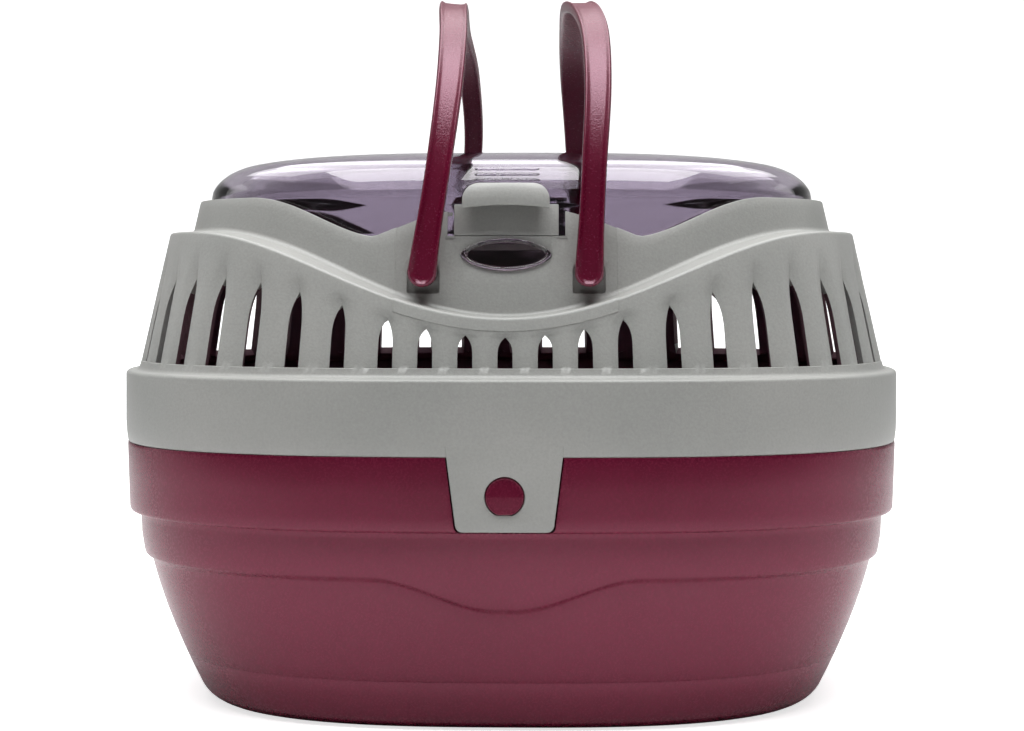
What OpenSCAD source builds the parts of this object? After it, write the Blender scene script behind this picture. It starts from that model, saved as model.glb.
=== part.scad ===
// Small pet carrier: tray, slotted top, clear lid and two folding handles.
// Millimetres. X is the long side, the front is -Y, the floor is Z = 0.

/* [Outline] */
// Width over the grey band
body_w = 300; // [285:1:330]
// Depth over the grey band
body_d = 230; // [220:1:250]
// Squareness of the plan: 2 is an ellipse, more is boxier
plan_power = 2.8; // [2.5:0.1:3.4]
// Wall of the tray and the top
wall = 2.6; // [2.2:0.1:3.2]

/* [Tray] */
// Height of the joint line between tray and top
tray_h = 99; // [92:1:108]
// Height of the upright band at the tray's top
tray_band_h = 26; // [24:1:30]
// How far the bands stand out past the walls
band_out = 5.5; // [5:0.1:7]
// Narrowing of each end from the band down to the floor
end_taper = 24; // [18:1:30]
// Narrowing of front and back down to the floor
side_taper = 14; // [8:1:20]
// Depth of the wavy step in the tray's wall
step_depth = 1; // [0.6:0.1:1.4]
// Height of the wavy step
step_z = 55.5; // [50:0.5:60]
// Dip of the step at front centre
step_dip = 11; // [6:0.5:14]
// Half width of that dip
step_dip_w = 46; // [38:1:60]
// Floor thickness
floor_t = 3; // [2.6:0.1:4]
// Radius of the four shallow recesses under the floor
foot_r = 9; // [7:0.5:11]
// Depth of those recesses
foot_in = 0.6; // [0.4:0.1:0.8]

/* [Top] */
// Height of the grey band
band_h = 27; // [25:1:32]
// Rise of the top's wall from the band to the ledge at the ends
skirt_h = 52.4; // [50:0.2:58]
// Lean of the walls above the band, degrees
lean = 12.5; // [10:0.5:14]
// Dip of the ledge at front and back centre
ledge_dip = 31.4; // [28:0.2:34]
// Half width of that dip
ledge_dip_w = 126; // [115:1:130]
// Width of the ledge that carries the folded handles
ledge_w = 8.5; // [8:0.1:10]
// Height of the collar above the ledge at the ends
collar_h = 12.4; // [11:0.2:15]
// Dip of the collar's edge beside each bracket
collar_dip = 14.7; // [12:0.1:16]
// Half distance between the two dips
collar_dip_x = 47.5; // [45:0.5:52]
// Rise of that edge for each millimetre from a dip towards the bracket
collar_v = 0.4; // [0.3:0.05:0.7]
// Length of the lip that locates the top inside the tray
lip_h = 6; // [4:0.5:8]
// Clearance between that lip and the tray
lip_gap = 0.4; // [0.3:0.05:0.6]
// Gap between the resting top and the tray
seat_gap = 0.05; // [0.02:0.01:0.1]

/* [Air slots] */
// Width of a slot at its foot
slot_w = 5.3; // [4:0.1:6]
// Height of the slot feet over the band
slot_rise = 3.5; // [3:0.1:6]
// Slots of the short middle row, each side of centre
short_slots = 3; // [3:1:3]
// Spacing in the short row
short_pitch = 14.2; // [13:0.1:15]
// Slots from the short row to the middle of the end
long_slots = 10; // [8:1:11]
// Wall left between a middle slot and the ledge
slot_drop = 6.8; // [6.4:0.1:8]
// Extra wall left over the slots at the corners
slot_drop_end = 11; // [8:0.5:13]

/* [Brackets] */
// Width of the front and rear brackets
bracket_w = 79; // [76:1:84]
// Depth of the bead that a bracket lays over the skirt
bead_h = 4.5; // [4:0.1:5]
// Height of a bracket's shoulder over the ledge centre
shoulder_h = 40.4; // [38:0.2:44]
// Fall of a bracket's top edge towards its sides
shoulder_fall = 8.6; // [6:0.2:9]
// Joint gap round a bracket
seam = 0.1; // [0.05:0.05:0.2]

/* [Latch] */
// Width of the latch tongue
tongue_w = 37.4; // [34:0.2:40]
// Height of the tongue's foot over the ledge centre
tongue_foot = 29; // [28:0.5:31]
// Slot each side of the tongue
tongue_slot = 2.4; // [2:0.1:3]
// Width of the finger lip
finger_w = 31; // [28:0.5:33]
// Height of the finger lip over the bracket's shoulder
finger_up = 7.5; // [6:0.5:9]
// Reach of the finger lip in front of the tongue
finger_out = 8; // [6:0.5:10]
// Thickness of the finger lip
finger_t = 2.2; // [1.8:0.1:2.6]
// Working gap under the tongue's foot
flex_gap = 0.35; // [0.3:0.05:0.5]

/* [Window] */
// Width of the eye-shaped window
window_w = 32.4; // [30:0.2:34]
// Height of the window
window_h = 12; // [10:0.2:12.4]
// Height of its centre over the ledge centre
window_up = 22.3; // [21.5:0.1:22.5]
// Width of the raised rim
window_rim = 1.3; // [1:0.1:1.6]
// Height of the rim over the bracket
window_proud = 1.1; // [0.8:0.1:1.4]
// Gap round the window
window_gap = 0.15; // [0.1:0.05:0.2]

/* [Lid] */
// Gap between lid and collar at the collar's top
lid_gap = 1.4; // [1.2:0.1:1.8]
// Wall of the clear lid
lid_t = 2.2; // [1.8:0.1:2.6]
// Height of the lid's crown over the ledge at the ends
lid_h = 31.2; // [29:0.2:35]
// Drop of the lid's rim at front and back
lid_dip = 6; // [5:0.5:7]
// Half width of the rim's low part
lid_dip_x = 60; // [50:1:70]
// Length over which the rim climbs from there
lid_dip_run = 40; // [30:1:50]
// Height of the rim over the ledge at the ends
lid_rise = 0.8; // [0.7:0.1:1.2]
// Width of the shelf under the lid's rim
shelf_w = 5; // [4.6:0.1:6]
// Thickness of that shelf
shelf_t = 2.2; // [1.8:0.1:2.4]
// Gap between the rim and the shelf
rim_gap = 0.3; // [0.2:0.05:0.4]
// Grip ribs on the lid behind the latch
grip_ribs = 3; // [2:1:4]
// Length of a grip rib
grip_w = 24; // [18:1:30]

/* [Lid hinge] */
// Height of the hinge axis over the bracket's shoulder
hinge_up = 0.8; // [0.6:0.1:1.4]
// Distance from the lid's back to the axis
hinge_back = 8; // [7.6:0.1:8.6]
// Radius of the lid's hinge knuckles
barrel_r = 3.6; // [3.3:0.1:4]
// Width over the lid's two knuckles
barrel_w = 35; // [30:1:38]
// Length of one knuckle
knuckle_w = 10; // [8:0.5:14]
// Thickness of a knuckle's arm
arm_t = 3; // [2.4:0.1:3.4]
// Thickness of the bracket's ears
ear_t = 3.6; // [3:0.1:4.5]
// Radius of a hinge pin
hinge_pin_r = 1.6; // [1.4:0.1:1.8]
// Length of a hinge pin inside its knuckle
hinge_pin_in = 8.5; // [7:0.5:9.5]

/* [Handles] */
// Distance of the pivots from the middle
handle_x = 29.5; // [29:0.1:30.5]
// Height of the pivots over the ledge centre
pivot_up = 16; // [15.8:0.1:16.6]
// Reach of a handle's middle line over its pivots
handle_reach = 105.5; // [101:0.5:108]
// Width of the strap
strap_w = 10.3; // [9.6:0.1:10.6]
// Thickness of the strap
strap_t = 4.5; // [4:0.1:5]
// Roundness of the arch: 2 is an ellipse
arch_power = 2.3; // [2.1:0.05:2.5]
// Lean of the left handle towards the middle, degrees
lean_left = 5.5; // [3:0.5:7]
// Lean of the right handle towards the middle, degrees
lean_right = 0.5; // [0:0.5:3]
// Half width of the pocket behind a strap's end
pocket_r = 5.85; // [5.7:0.05:6.2]
// Drop of the pocket's foot below the pivot
pocket_drop = 7.6; // [7.2:0.1:8]
// Depth of the pocket's floor behind the ledge's inner edge
pocket_in = 5.4; // [5.2:0.1:5.8]
// Thickness behind the pocket
pocket_t = 3.2; // [2.8:0.1:3.6]
// Radius of a handle pin
pin_r = 2; // [1.8:0.1:2.3]
// Running clearance of the pins
pin_gap = 0.06; // [0.05:0.01:0.08]

/* [Release buttons] */
// Width of a tab at the joint line
tab_w = 40.3; // [38:0.5:44]
// Width of a tab at its foot
tab_foot_w = 33.8; // [31:0.2:36]
// Radius of a tab's lower corners
tab_corner = 2.6; // [2:0.1:4]
// Gap round a tab
tab_gap = 0.5; // [0.4:0.1:0.7]
// Radius of a button
button_r = 6.6; // [6:0.1:7]
// Gap round a button
button_gap = 0.35; // [0.3:0.05:0.5]
// Height of the buttons below the joint line
button_drop = 13.6; // [12.5:0.1:14]
// How far a button stands out
button_proud = 0.5; // [0.3:0.1:1]
// Width of the flange behind the tab
button_flange = 1.6; // [1.2:0.1:2]
// Depth of the pocket behind a tab
tab_pocket = 8.5; // [8:0.1:9.5]

/* [Hidden] */
segments = 84;
shell_grey = [0.62, 0.62, 0.60];
burgundy = [0.36, 0.09, 0.19];
clear = [0.82, 0.83, 0.90, 0.4];
half_w = body_w / 2;
half_d = body_d / 2;
band_top = tray_h + band_h;
slot_foot = band_top + slot_rise;
ledge_z = band_top + skirt_h;
ledge_mid = ledge_z - ledge_dip;
collar_z = ledge_z + collar_h;
shoulder_z = ledge_mid + shoulder_h;
band_foot = tray_h - tray_band_h;
slope = tan(lean);
pivot_z = ledge_mid + pivot_up;
lid_half_w = collar_half(half_w, collar_z) - wall - lid_gap;
lid_half_d = collar_half(half_d, collar_z) - wall - lid_gap;
lid_top = ledge_z + lid_h;
hinge_y = lid_half_d + hinge_back;
hinge_z = shoulder_z + hinge_up;
tongue_z = ledge_mid + tongue_foot;
window_z = ledge_mid + window_up;
strap_y = collar_half(half_d, ledge_mid) + 0.3 * ledge_w;
pocket_y = collar_half(half_d, ledge_mid) - pocket_in;
pin_head_y = pocket_y - pocket_t;
button_z = tray_h - button_drop;
tab_back = half_d - wall - 0.2;
eps = 0.01;

// ---- Plan outline -----------------------------------------------------
function plan_radius(angle, a, b) =
    pow(pow(abs(cos(angle)) / a, plan_power) + pow(abs(sin(angle)) / b, plan_power),
        -1 / plan_power);
function plan_point(angle, a, b) = plan_radius(angle, a, b) * [cos(angle), sin(angle)];
function plan_normal(p, a, b) =
    let (n = [sign(p.x) * pow(abs(p.x) / a, plan_power - 1) / a,
              sign(p.y) * pow(abs(p.y) / b, plan_power - 1) / b])
    n / norm(n);
function smooth(t) = let (u = min(1, max(0, t))) u * u * (3 - 2 * u);
function at_x(angle) = plan_point(angle, half_w - 2 * band_out, half_d - 2 * band_out).x;

// ---- Heights that change along the width ------------------------------
function ledge_at(x) =
    ledge_z - ledge_dip * pow(cos(90 * min(1, abs(x) / ledge_dip_w)), 2);
function step_wave(x) = 1 - smooth((abs(x) - 3) / (step_dip_w - 3));
function lid_rim(x) = ledge_z + lid_rise - lid_dip * (1 - smooth((abs(x) - lid_dip_x) / lid_dip_run));
function collar_rise(t) = pow(sin(90 * min(1, max(0, t))), 1.6);
function collar_at(x) =
    abs(x) < collar_dip_x
    ? collar_z - collar_dip + collar_v * (collar_dip_x - abs(x))
    : collar_z - collar_dip * (1 - collar_rise((abs(x) - collar_dip_x) / collar_dip_x));

// ---- Half widths of the walls at a height -----------------------------
function skirt_half(half, z) = half - band_out - (z - slot_foot) * slope;
function collar_half(half, z) = skirt_half(half, z) - ledge_w;
function body_half(half, taper, z) =
    half - band_out - taper * pow(max(0, 1 - z / (band_foot - 6)), 1.5);

// ---- A wall skinned over rings of points ------------------------------
// A ring on the plan outline: a, b and heights hold one number for each of its points.
function ring_of(a, b, heights) =
    [for (i = [0:segments - 1]) let (p = plan_point(360 * i / segments, a[i], b[i]))
        [p.x, p.y, heights[i]]];
function all(v) = [for (i = [0:segments - 1]) v];
function around() = [for (i = [0:segments - 1]) 360 * i / segments];

module skin(rings, ring_closed) {
    n = segments;
    m = len(rings);
    rows = ring_closed ? m : m - 1;
    sides = [for (i = [0:rows - 1], j = [0:n - 1])
        let (k = (i + 1) % m, l = (j + 1) % n, a = i * n + j, b = i * n + l,
             c = k * n + l, d = k * n + j)
        each [[a, d, c], [a, c, b]]];
    caps = ring_closed ? [] : [[for (j = [0:n - 1]) j], [for (j = [n - 1:-1:0]) (m - 1) * n + j]];
    polyhedron([for (r = rings) each r], concat(sides, caps), convexity = 10);
}

module front_and_back() {
    children();
    rotate(180) children();
}

// A shape drawn in the XZ plane, made solid from y0 to y1 on the front.
module upright(y0, y1) {
    translate([0, -y0, 0]) rotate([90, 0, 0]) linear_extrude(y1 - y0) children();
}

// ---- Tray -------------------------------------------------------------
// [height, part of the step's dip, inset, inset of the floor edge]
tray_outer = [
    [0, 0, step_depth + 5], [1.3, 0, step_depth + 2], [4, 0, step_depth + 0.4],
    [9, 0, step_depth], [17, 0, step_depth], [26, 0.25, step_depth], [35, 0.5, step_depth],
    [44, 0.8, step_depth], [step_z - 1.8, 1, step_depth], [step_z + 1.7, 1, 0],
    [64, 0.4, 0], [band_foot - 2.5, 0, 0]];

function tray_ring(row, thick) =
    let (x = [for (angle = around()) at_x(angle)],
         z = [for (v = x) row[0] - row[1] * step_dip * step_wave(v)],
         a = [for (h = z) body_half(half_w, end_taper, h) - row[2] - thick],
         b = [for (h = z) body_half(half_d, side_taper, h) - row[2] - thick])
    ring_of(a, b, z);
function band_ring(z, inset) = ring_of(all(half_w - inset), all(half_d - inset), all(z));

module tray_wall() {
    rim = tray_h - seat_gap;
    inner = [for (i = [len(tray_outer) - 2:-1:2]) tray_outer[i]];
    skin(concat(
        [for (row = tray_outer) tray_ring(row, 0)],
        [band_ring(band_foot - 1.4, band_out - 1.2), band_ring(band_foot - 0.8, 3.2),
         band_ring(band_foot + 0.8, 1.9), band_ring(band_foot + 3, 1.4),
         band_ring(rim - 1, 0.6), band_ring(rim, 0.9),
         band_ring(rim, 0.6 + wall), band_ring(band_foot + 4, 1.4 + wall),
         band_ring(band_foot + 2, band_out + wall - 1.5)],
        [for (row = inner) tray_ring([row[0] < 5 ? floor_t + 1.5 : row[0], row[1], row[2]], wall)],
        [tray_ring([floor_t, 0, step_depth + 5], wall)]), false);
}

// The tab's outline, widened by a gap all round and raised at the top.
module tab_outline(gap, rise) {
    hull() {
        translate([0, tray_h + rise]) square([tab_w + 2 * gap, eps], center = true);
        for (side = [-1, 1])
            translate([side * (tab_foot_w / 2 - tab_corner), band_foot + tab_corner])
                circle(r = tab_corner + gap, $fn = 24);
    }
}

// Wall round the pocket behind a tab, out to a reach from the middle and down to a foot, less a bit all round.
module tab_house(reach, foot, less) {
    hull() upright(half_d - wall - tab_pocket - 0.9, reach) intersection() {
        tab_outline(tab_gap + wall - less, 0);
        translate([-half_w, foot]) square([body_w, tray_h - 0.4 - less - foot]);
    }
}

module tab_hollow() {
    hull() upright(half_d - tab_pocket, half_d + 2) tab_outline(tab_gap, 1);
}

module foot_pad() {
    for (x = [-1, 1], y = [-1, 1])
        hull() translate([x * half_w / 2, y * half_d / 2, -1])
            cylinder(r = foot_r, h = foot_in + 1, $fn = 32);
}

module base_tray() {
    color(burgundy) difference() {
        union() {
            tray_wall();
            front_and_back() {
                tab_house(half_d - band_out - 0.7, 0, 0);
                tab_house(half_d - 1.8, band_foot + 1.9, 0.15);
            }
        }
        front_and_back() tab_hollow();
        foot_pad();
    }
}

// ---- Top: skirt, ledge, collar and the shelf for the lid --------------
function top_ring(part, inset, drop) =
    let (x = [for (angle = around()) at_x(angle)],
         z = [for (v = x) drop + (
             part == "rim" ? lid_rim(v) - rim_gap : part == "top" ? collar_z + 3 : ledge_at(v))])
    ring_of([for (h = z) (part == "skirt" ? skirt_half(half_w, h) : collar_half(half_w, h)) - inset],
            [for (h = z) (part == "skirt" ? skirt_half(half_d, h) : collar_half(half_d, h)) - inset],
            z);
function foot_ring(z, inset) =
    ring_of(all(skirt_half(half_w, z) - inset), all(skirt_half(half_d, z) - inset), all(z));

module top_wall() {
    lip_out = 0.6 + wall + lip_gap;
    skin([
        band_ring(tray_h - lip_h, lip_out + 0.1 + wall), band_ring(tray_h - lip_h, lip_out + 0.1),
        band_ring(tray_h, lip_out), band_ring(tray_h, 0.9), band_ring(tray_h + 1, 0.6),
        band_ring(tray_h + 8, 0), band_ring(band_top - 2.4, 0), band_ring(band_top - 0.7, 0.7),
        band_ring(band_top, 2.4), foot_ring(band_top + 0.4, -0.6), foot_ring(slot_foot, 0),
        top_ring("skirt", 0, -8), top_ring("skirt", 0, -2.2), top_ring("skirt", 0.8, -0.6),
        top_ring("skirt", 2.4, 0), top_ring("collar", -0.8, 0), top_ring("collar", 0, 0.8),
        top_ring("top", 0, 0), top_ring("top", wall, 0),
        top_ring("rim", wall, 0), top_ring("rim", shelf_w + wall, 0),
        top_ring("rim", shelf_w + wall, -shelf_t), top_ring("rim", wall, -shelf_t),
        top_ring("collar", wall, -wall), top_ring("skirt", wall, -wall),
        foot_ring(slot_foot, wall), foot_ring(band_top - wall, wall + 0.6),
        band_ring(band_top - wall - 1.5, wall + 1), band_ring(tray_h + 5, wall + 0.6),
        band_ring(tray_h + 2.5, lip_out + wall)], true);
}

// Quarter of the skirt's length, as pairs of length and angle.
function skirt_at(angle) =
    plan_point(angle, skirt_half(half_w, slot_foot), skirt_half(half_d, slot_foot));
function run_to(i) = i == 0 ? 0 : run_to(i - 1) + norm(skirt_at(i - 90) - skirt_at(i - 91));
skirt_run = [for (i = [0:90]) [run_to(i), i - 90]];
quarter = run_to(90);
short_run = short_slots * short_pitch;
long_pitch = (quarter - short_run) / long_slots;
slot_runs = concat([for (i = [0:short_slots]) i * short_pitch],
                   [for (i = [1:long_slots]) short_run + i * long_pitch]);

module slot_cutter(run) {
    angle = lookup(run, skirt_run);
    at = skirt_at(angle);
    n = plan_normal(at, skirt_half(half_w, slot_foot), skirt_half(half_d, slot_foot));
    top = ledge_at(at.x) - slot_drop - slot_drop_end * pow(min(1, abs(at.x) / (0.8 * half_w)), 2);
    h = top - slot_foot;
    w = slot_w / 2;
    translate([at.x, at.y, slot_foot]) rotate([90, 0, atan2(n.y, n.x)])
        rotate([0, 90, 0]) translate([0, 0, -h * slope - wall - 4]) hull()
            linear_extrude(h * slope + wall + 7) polygon([
                [-w, 0], [w, 0], [w, 0.35 * h], [0.86 * w, 0.6 * h], [0.56 * w, 0.84 * h],
                [0.12 * w, h], [-0.12 * w, h], [-0.56 * w, 0.84 * h], [-0.86 * w, 0.6 * h],
                [-w, 0.35 * h]]);
}

module all_slots() {
    for (run = slot_runs) {
        slot_cutter(run);
        if (run > 0) mirror([1, 0, 0]) slot_cutter(run);
        if (run < quarter - 1) {
            mirror([0, 1, 0]) slot_cutter(run);
            if (run > 0) rotate(180) slot_cutter(run);
        }
    }
}

// Region of a bracket seen from the front, grown by a gap.
module bracket_region(gap) {
    half = bracket_w / 2 + gap;
    steps = 16;
    low = [for (i = [0:steps]) let (x = -half + 2 * half * i / steps)
        [x, ledge_at(x) - bead_h - gap]];
    polygon(concat(low, [[half, collar_z + 20], [-half, collar_z + 20]]));
}

module over_collar() {
    reach = half_w + 10;
    step = 2.5;
    edge = [for (x = [-reach:step:reach]) [x, collar_at(x)]];
    rotate([90, 0, 0]) linear_extrude(body_d, center = true)
        polygon(concat(edge, [[reach, collar_z + 30], [-reach, collar_z + 30]]));
}

module tab() {
    difference() {
        hull() {
            upright(tab_back, half_d - 0.9) intersection() {
                tab_outline(0, 0.5);
                translate([-half_w, tray_h - 2]) square([body_w, 2 + wall]);
            }
            upright(tab_back - 0.7, half_d - 1.7) intersection() {
                tab_outline(0, 0.5);
                translate([-half_w, 0]) square([body_w, band_foot + 4]);
            }
        }
        hull() translate([0, -tab_back + 5, button_z]) rotate([90, 0, 0])
            cylinder(r = button_r + button_gap, h = 20, $fn = 64);
    }
}

module lip_break() {
    hull() upright(half_d - 12, half_d - wall - 0.9)
        translate([-tab_w / 2 - tab_gap - wall - 0.4, tray_h - lip_h - 1])
            square([tab_w + 2 * (tab_gap + wall + 0.4), lip_h + 1]);
}

module upper_shell() {
    color(shell_grey) union() {
        difference() {
            top_wall();
            all_slots();
            over_collar();
            front_and_back() upright(0, half_d) bracket_region(seam);
            front_and_back() lip_break();
        }
        front_and_back() tab();
    }
}

// ---- Brackets ---------------------------------------------------------
function shoulder_at(x) = shoulder_z - shoulder_fall * pow(abs(x) / (bracket_w / 2), 2);

module bracket_outline() {
    half = bracket_w / 2;
    steps = 16;
    edge = [for (i = [0:steps]) let (x = half - 2 * half * i / steps) [x, shoulder_at(x)]];
    intersection() {
        bracket_region(0);
        polygon(concat([[-half, 0], [half, 0]], edge));
    }
}

module pocket_pad(x) {
    hull() {
        translate([x, -pin_head_y, pivot_z]) rotate([90, 0, 0])
            cylinder(r = pocket_r + 1.6, h = pocket_t + 0.1, $fn = 48);
        upright(pin_head_y, collar_half(half_d, ledge_mid) - 1.2)
            translate([x - pocket_r - 1.6, ledge_mid + 1]) square([2 * pocket_r + 3.2, 1]);
    }
}

module pocket_cut(x) {
    hull() translate([x, -pocket_y, pivot_z]) rotate([90, 0, 0])
        cylinder(r = pocket_r, h = 12, $fn = 48);
    hull() upright(pocket_y, pocket_y + 12)
        translate([x - pocket_r, pivot_z - pocket_drop]) square([2 * pocket_r, pocket_drop]);
    hull() translate([x, 0, pivot_z]) rotate([90, 0, 0])
        cylinder(r = pin_r + pin_gap, h = half_d, $fn = 64);
}

module bracket_body() {
    difference() {
        union() {
            intersection() {
                top_wall();
                upright(0, half_d) bracket_outline();
            }
            intersection() {
                for (side = [-1, 1]) pocket_pad(side * handle_x);
                upright(0, half_d) bracket_outline();
            }
        }
        for (side = [-1, 1]) pocket_cut(side * handle_x);
    }
}

module eye(w, h, t) {
    r = (w * w / 4 + h * h / 4) / h;
    intersection() {
        translate([0, r - h / 2]) cylinder(r = r, h = t, $fn = 160);
        translate([0, h / 2 - r]) cylinder(r = r, h = t, $fn = 160);
    }
}

// Moves to the window's place on the leaning bracket, z pointing outwards.
module at_window() {
    translate([0, -collar_half(half_d, window_z), window_z]) rotate([90 - lean, 0, 0]) children();
}

module window_cut() {
    hull() at_window() translate([0, 0, -3 * wall])
        eye(window_w + 2 * window_gap, window_h + 2 * window_gap, 5 * wall);
    hull() upright(pin_head_y - 6, collar_half(half_d, window_z) - wall - 0.8)
        translate([-window_w / 2 - 3, window_z - window_h / 2 - 3])
            square([window_w + 6, window_h + 4]);
}

module tongue_cut() {
    half = tongue_w / 2 + tongue_slot;
    hull() upright(0, half_d) translate([-half, tongue_z]) square([2 * half, shoulder_h]);
}

module front_bracket() {
    color(shell_grey) union() {
        difference() {
            bracket_body();
            window_cut();
            tongue_cut();
        }
        hull() upright(collar_half(half_d, shoulder_z) - wall + 0.6, collar_half(half_d, shoulder_z))
            translate([-tongue_w / 2 - tongue_slot - 0.6, shoulder_z - 4.2])
                square([tongue_slot + 0.4, 1.3]);
    }
}

module rear_bracket() {
    ear_x = barrel_w / 2 + 0.3;
    bore = hinge_pin_r + pin_gap;
    color(shell_grey) rotate(180) difference() {
        union() {
            bracket_body();
            for (side = [0, 1]) mirror([side, 0, 0]) hull() {
                translate([ear_x, -hinge_y, hinge_z]) rotate([0, 90, 0])
                    cylinder(r = barrel_r, h = ear_t, $fn = 48);
                translate([ear_x, -collar_half(half_d, shoulder_z - 8) - 0.2, shoulder_z - 13])
                    cube([ear_t, 2, 10]);
            }
        }
        hull() upright(0, half_d)
            translate([-ear_x, hinge_z - barrel_r - 0.7]) square([2 * ear_x, shoulder_h]);
        hull() translate([-half_w, -hinge_y, hinge_z]) rotate([0, 90, 0])
            cylinder(r = bore, h = body_w, $fn = 64);
    }
}

// ---- Latch tongue with its finger lip ---------------------------------
module side_profile(width, points) {
    translate([-width / 2, 0, 0]) rotate([90, 0, 90]) linear_extrude(width) polygon(points);
}

module rounded_front(width, z, r) {
    translate([-width / 2, 0]) square([width, z - r]);
    translate([-width / 2 + r, 0]) square([width - 2 * r, z]);
    for (side = [-1, 1]) translate([side * (width / 2 - r), z - r]) circle(r = r, $fn = 48);
}

module lid_latch() {
    foot_z = tongue_z + flex_gap;
    foot = collar_half(half_d, foot_z);
    face = collar_half(half_d, shoulder_z);
    back = lid_half_d + 0.9;
    lip_top = shoulder_z + finger_up;
    edge = face + finger_out;
    color(shell_grey) union() {
        side_profile(tongue_w, [[-foot, foot_z], [-face, shoulder_z], [-face + wall, shoulder_z],
                                [-foot + wall, foot_z]]);
        intersection() {
            side_profile(finger_w, [
                [-back, shoulder_z - 4], [-face, shoulder_z - 3], [-face, lip_top - finger_t - 2],
                [-face - 2, lip_top - finger_t - 1.2], [-edge + finger_t, shoulder_z],
                [-edge, shoulder_z], [-face - 3.5, lip_top - 1.2], [-face - 0.5, lip_top],
                [-back - 1, lip_top], [-back, lip_top - 1]]);
            upright(0, half_d) rounded_front(finger_w, lip_top, 4);
        }
    }
}

// ---- Window -----------------------------------------------------------
module front_window() {
    color(clear) at_window() difference() {
        union() {
            translate([0, 0, -wall]) eye(window_w, window_h, wall);
            eye(window_w, window_h, window_proud);
        }
        eye(window_w - 3 * window_rim, window_h - 2 * window_rim, 2 * wall);
    }
}

// ---- Lid --------------------------------------------------------------
// [height below the crown, inset]
lid_rows = [[17.4, 0.1], [14.8, 0.7], [12.4, 2.2], [10, 4.6], [7.6, 8.2], [5.2, 14.5],
            [3.2, 26], [1.6, 42], [0.4, 66]];
function lid_ring(z, inset) =
    let (share = lid_half_d / lid_half_w)
    ring_of(all(lid_half_w - inset), all(lid_half_d - inset * share), all(z));
function lid_foot(inset) =
    ring_of(all(lid_half_w - inset), all(lid_half_d - inset),
            [for (angle = around()) lid_rim(at_x(angle))]);

module lid_shell() {
    inner = [for (i = [len(lid_rows) - 1:-1:0]) lid_rows[i]];
    skin(concat(
        [for (row = inner) lid_ring(lid_top - row[0] - lid_t, row[1] + lid_t)],
        [lid_foot(lid_t), lid_foot(0)],
        [for (row = lid_rows) lid_ring(lid_top - row[0], row[1])]), false);
}

// One of the lid's two hinge knuckles with its arm, on the side given.
module knuckle(side) {
    start = side > 0 ? barrel_w / 2 - knuckle_w : -barrel_w / 2;
    hull() translate([start, hinge_y, hinge_z]) rotate([0, 90, 0])
        cylinder(r = barrel_r, h = knuckle_w, $fn = 48);
    hull() translate([start, lid_half_d - 1.4, hinge_z + barrel_r - arm_t])
        cube([knuckle_w, hinge_back + 1.4, arm_t]);
}

// A rib on the lid's front shoulder, at a height below the crown.
module grip_rib(drop) {
    front = lid_half_d - lookup(drop, lid_rows) * lid_half_d / lid_half_w;
    hull() translate([-grip_w / 2, -front - 0.5, lid_top - drop - 0.5]) cube([grip_w, 1.8, 1]);
}

module knuckle_bore(side) {
    hull() translate([side * barrel_w / 2, hinge_y, hinge_z]) rotate([0, 90, 0])
        cylinder(r = hinge_pin_r + pin_gap, h = 3 * knuckle_w, center = true, $fn = 64);
}

module clear_lid() {
    color(clear) difference() {
        union() {
            lid_shell();
            for (side = [-1, 1]) knuckle(side);
            for (i = [0:grip_ribs - 1]) grip_rib(9.2 + 2 * i);
        }
        for (side = [-1, 1]) knuckle_bore(side);
    }
}

module hinge_pin(side) {
    start = barrel_w / 2 + 0.3 + ear_t;
    color(shell_grey) translate([side * start, hinge_y, hinge_z]) rotate([0, -90 * side, 0]) {
        cylinder(r = hinge_pin_r, h = ear_t + 0.3 + hinge_pin_in, $fn = 48);
        translate([0, 0, -1.2 - pin_gap]) cylinder(r = hinge_pin_r + 1, h = 1.2, $fn = 48);
        translate([0, 0, -pin_gap - eps]) cylinder(r = hinge_pin_r, h = 2 * pin_gap, $fn = 48);
    }
}

module lid_hinge_pin_left() { hinge_pin(-1); }
module lid_hinge_pin_right() { hinge_pin(1); }

// ---- Handles ----------------------------------------------------------
// Half of the arch at a distance off its middle line, in the YZ plane.
function arch_side(off) =
    let (u = handle_reach + off, v = strap_y + off, n = arch_power, steps = 26)
    [for (i = [0:steps]) let (t = 90 * i / steps, c = pow(cos(t), 2 / n), s = pow(sin(t), 2 / n))
        [v * c, u * s]];

module arch_flat() {
    outer = arch_side(strap_t / 2);
    inner = arch_side(-strap_t / 2);
    m = len(outer) - 1;
    polygon(concat(outer, [for (i = [m - 1:-1:0]) [-outer[i][0], outer[i][1]]],
                   [for (i = [0:m]) [-inner[i][0], inner[i][1]]],
                   [for (i = [m - 1:-1:0]) inner[i]]));
}

module handle(side, tilt) {
    end_r = strap_w / 2;
    color(burgundy) translate([side * handle_x, 0, pivot_z]) rotate([0, -side * tilt, 0])
        difference() {
            union() {
                rotate([90, 0, 90]) linear_extrude(strap_w, center = true) arch_flat();
                for (end = [0, 1]) rotate(180 * end) {
                    translate([0, -strap_y + strap_t / 2, 0]) rotate([90, 0, 0])
                        cylinder(r = end_r, h = strap_t, $fn = 64);
                    translate([0, -pocket_y - 0.3, 0]) rotate([90, 0, 0])
                        cylinder(r = end_r, h = strap_y - strap_t / 2 - pocket_y, $fn = 64);
                }
            }
            for (end = [0, 1]) rotate(180 * end) rotate([90, 0, 0])
                cylinder(r = pin_r + pin_gap, h = strap_y + strap_t / 2 - 1.2, $fn = 48);
        }
}

module handle_left() { handle(-1, lean_left); }
module handle_right() { handle(1, lean_right); }

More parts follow.
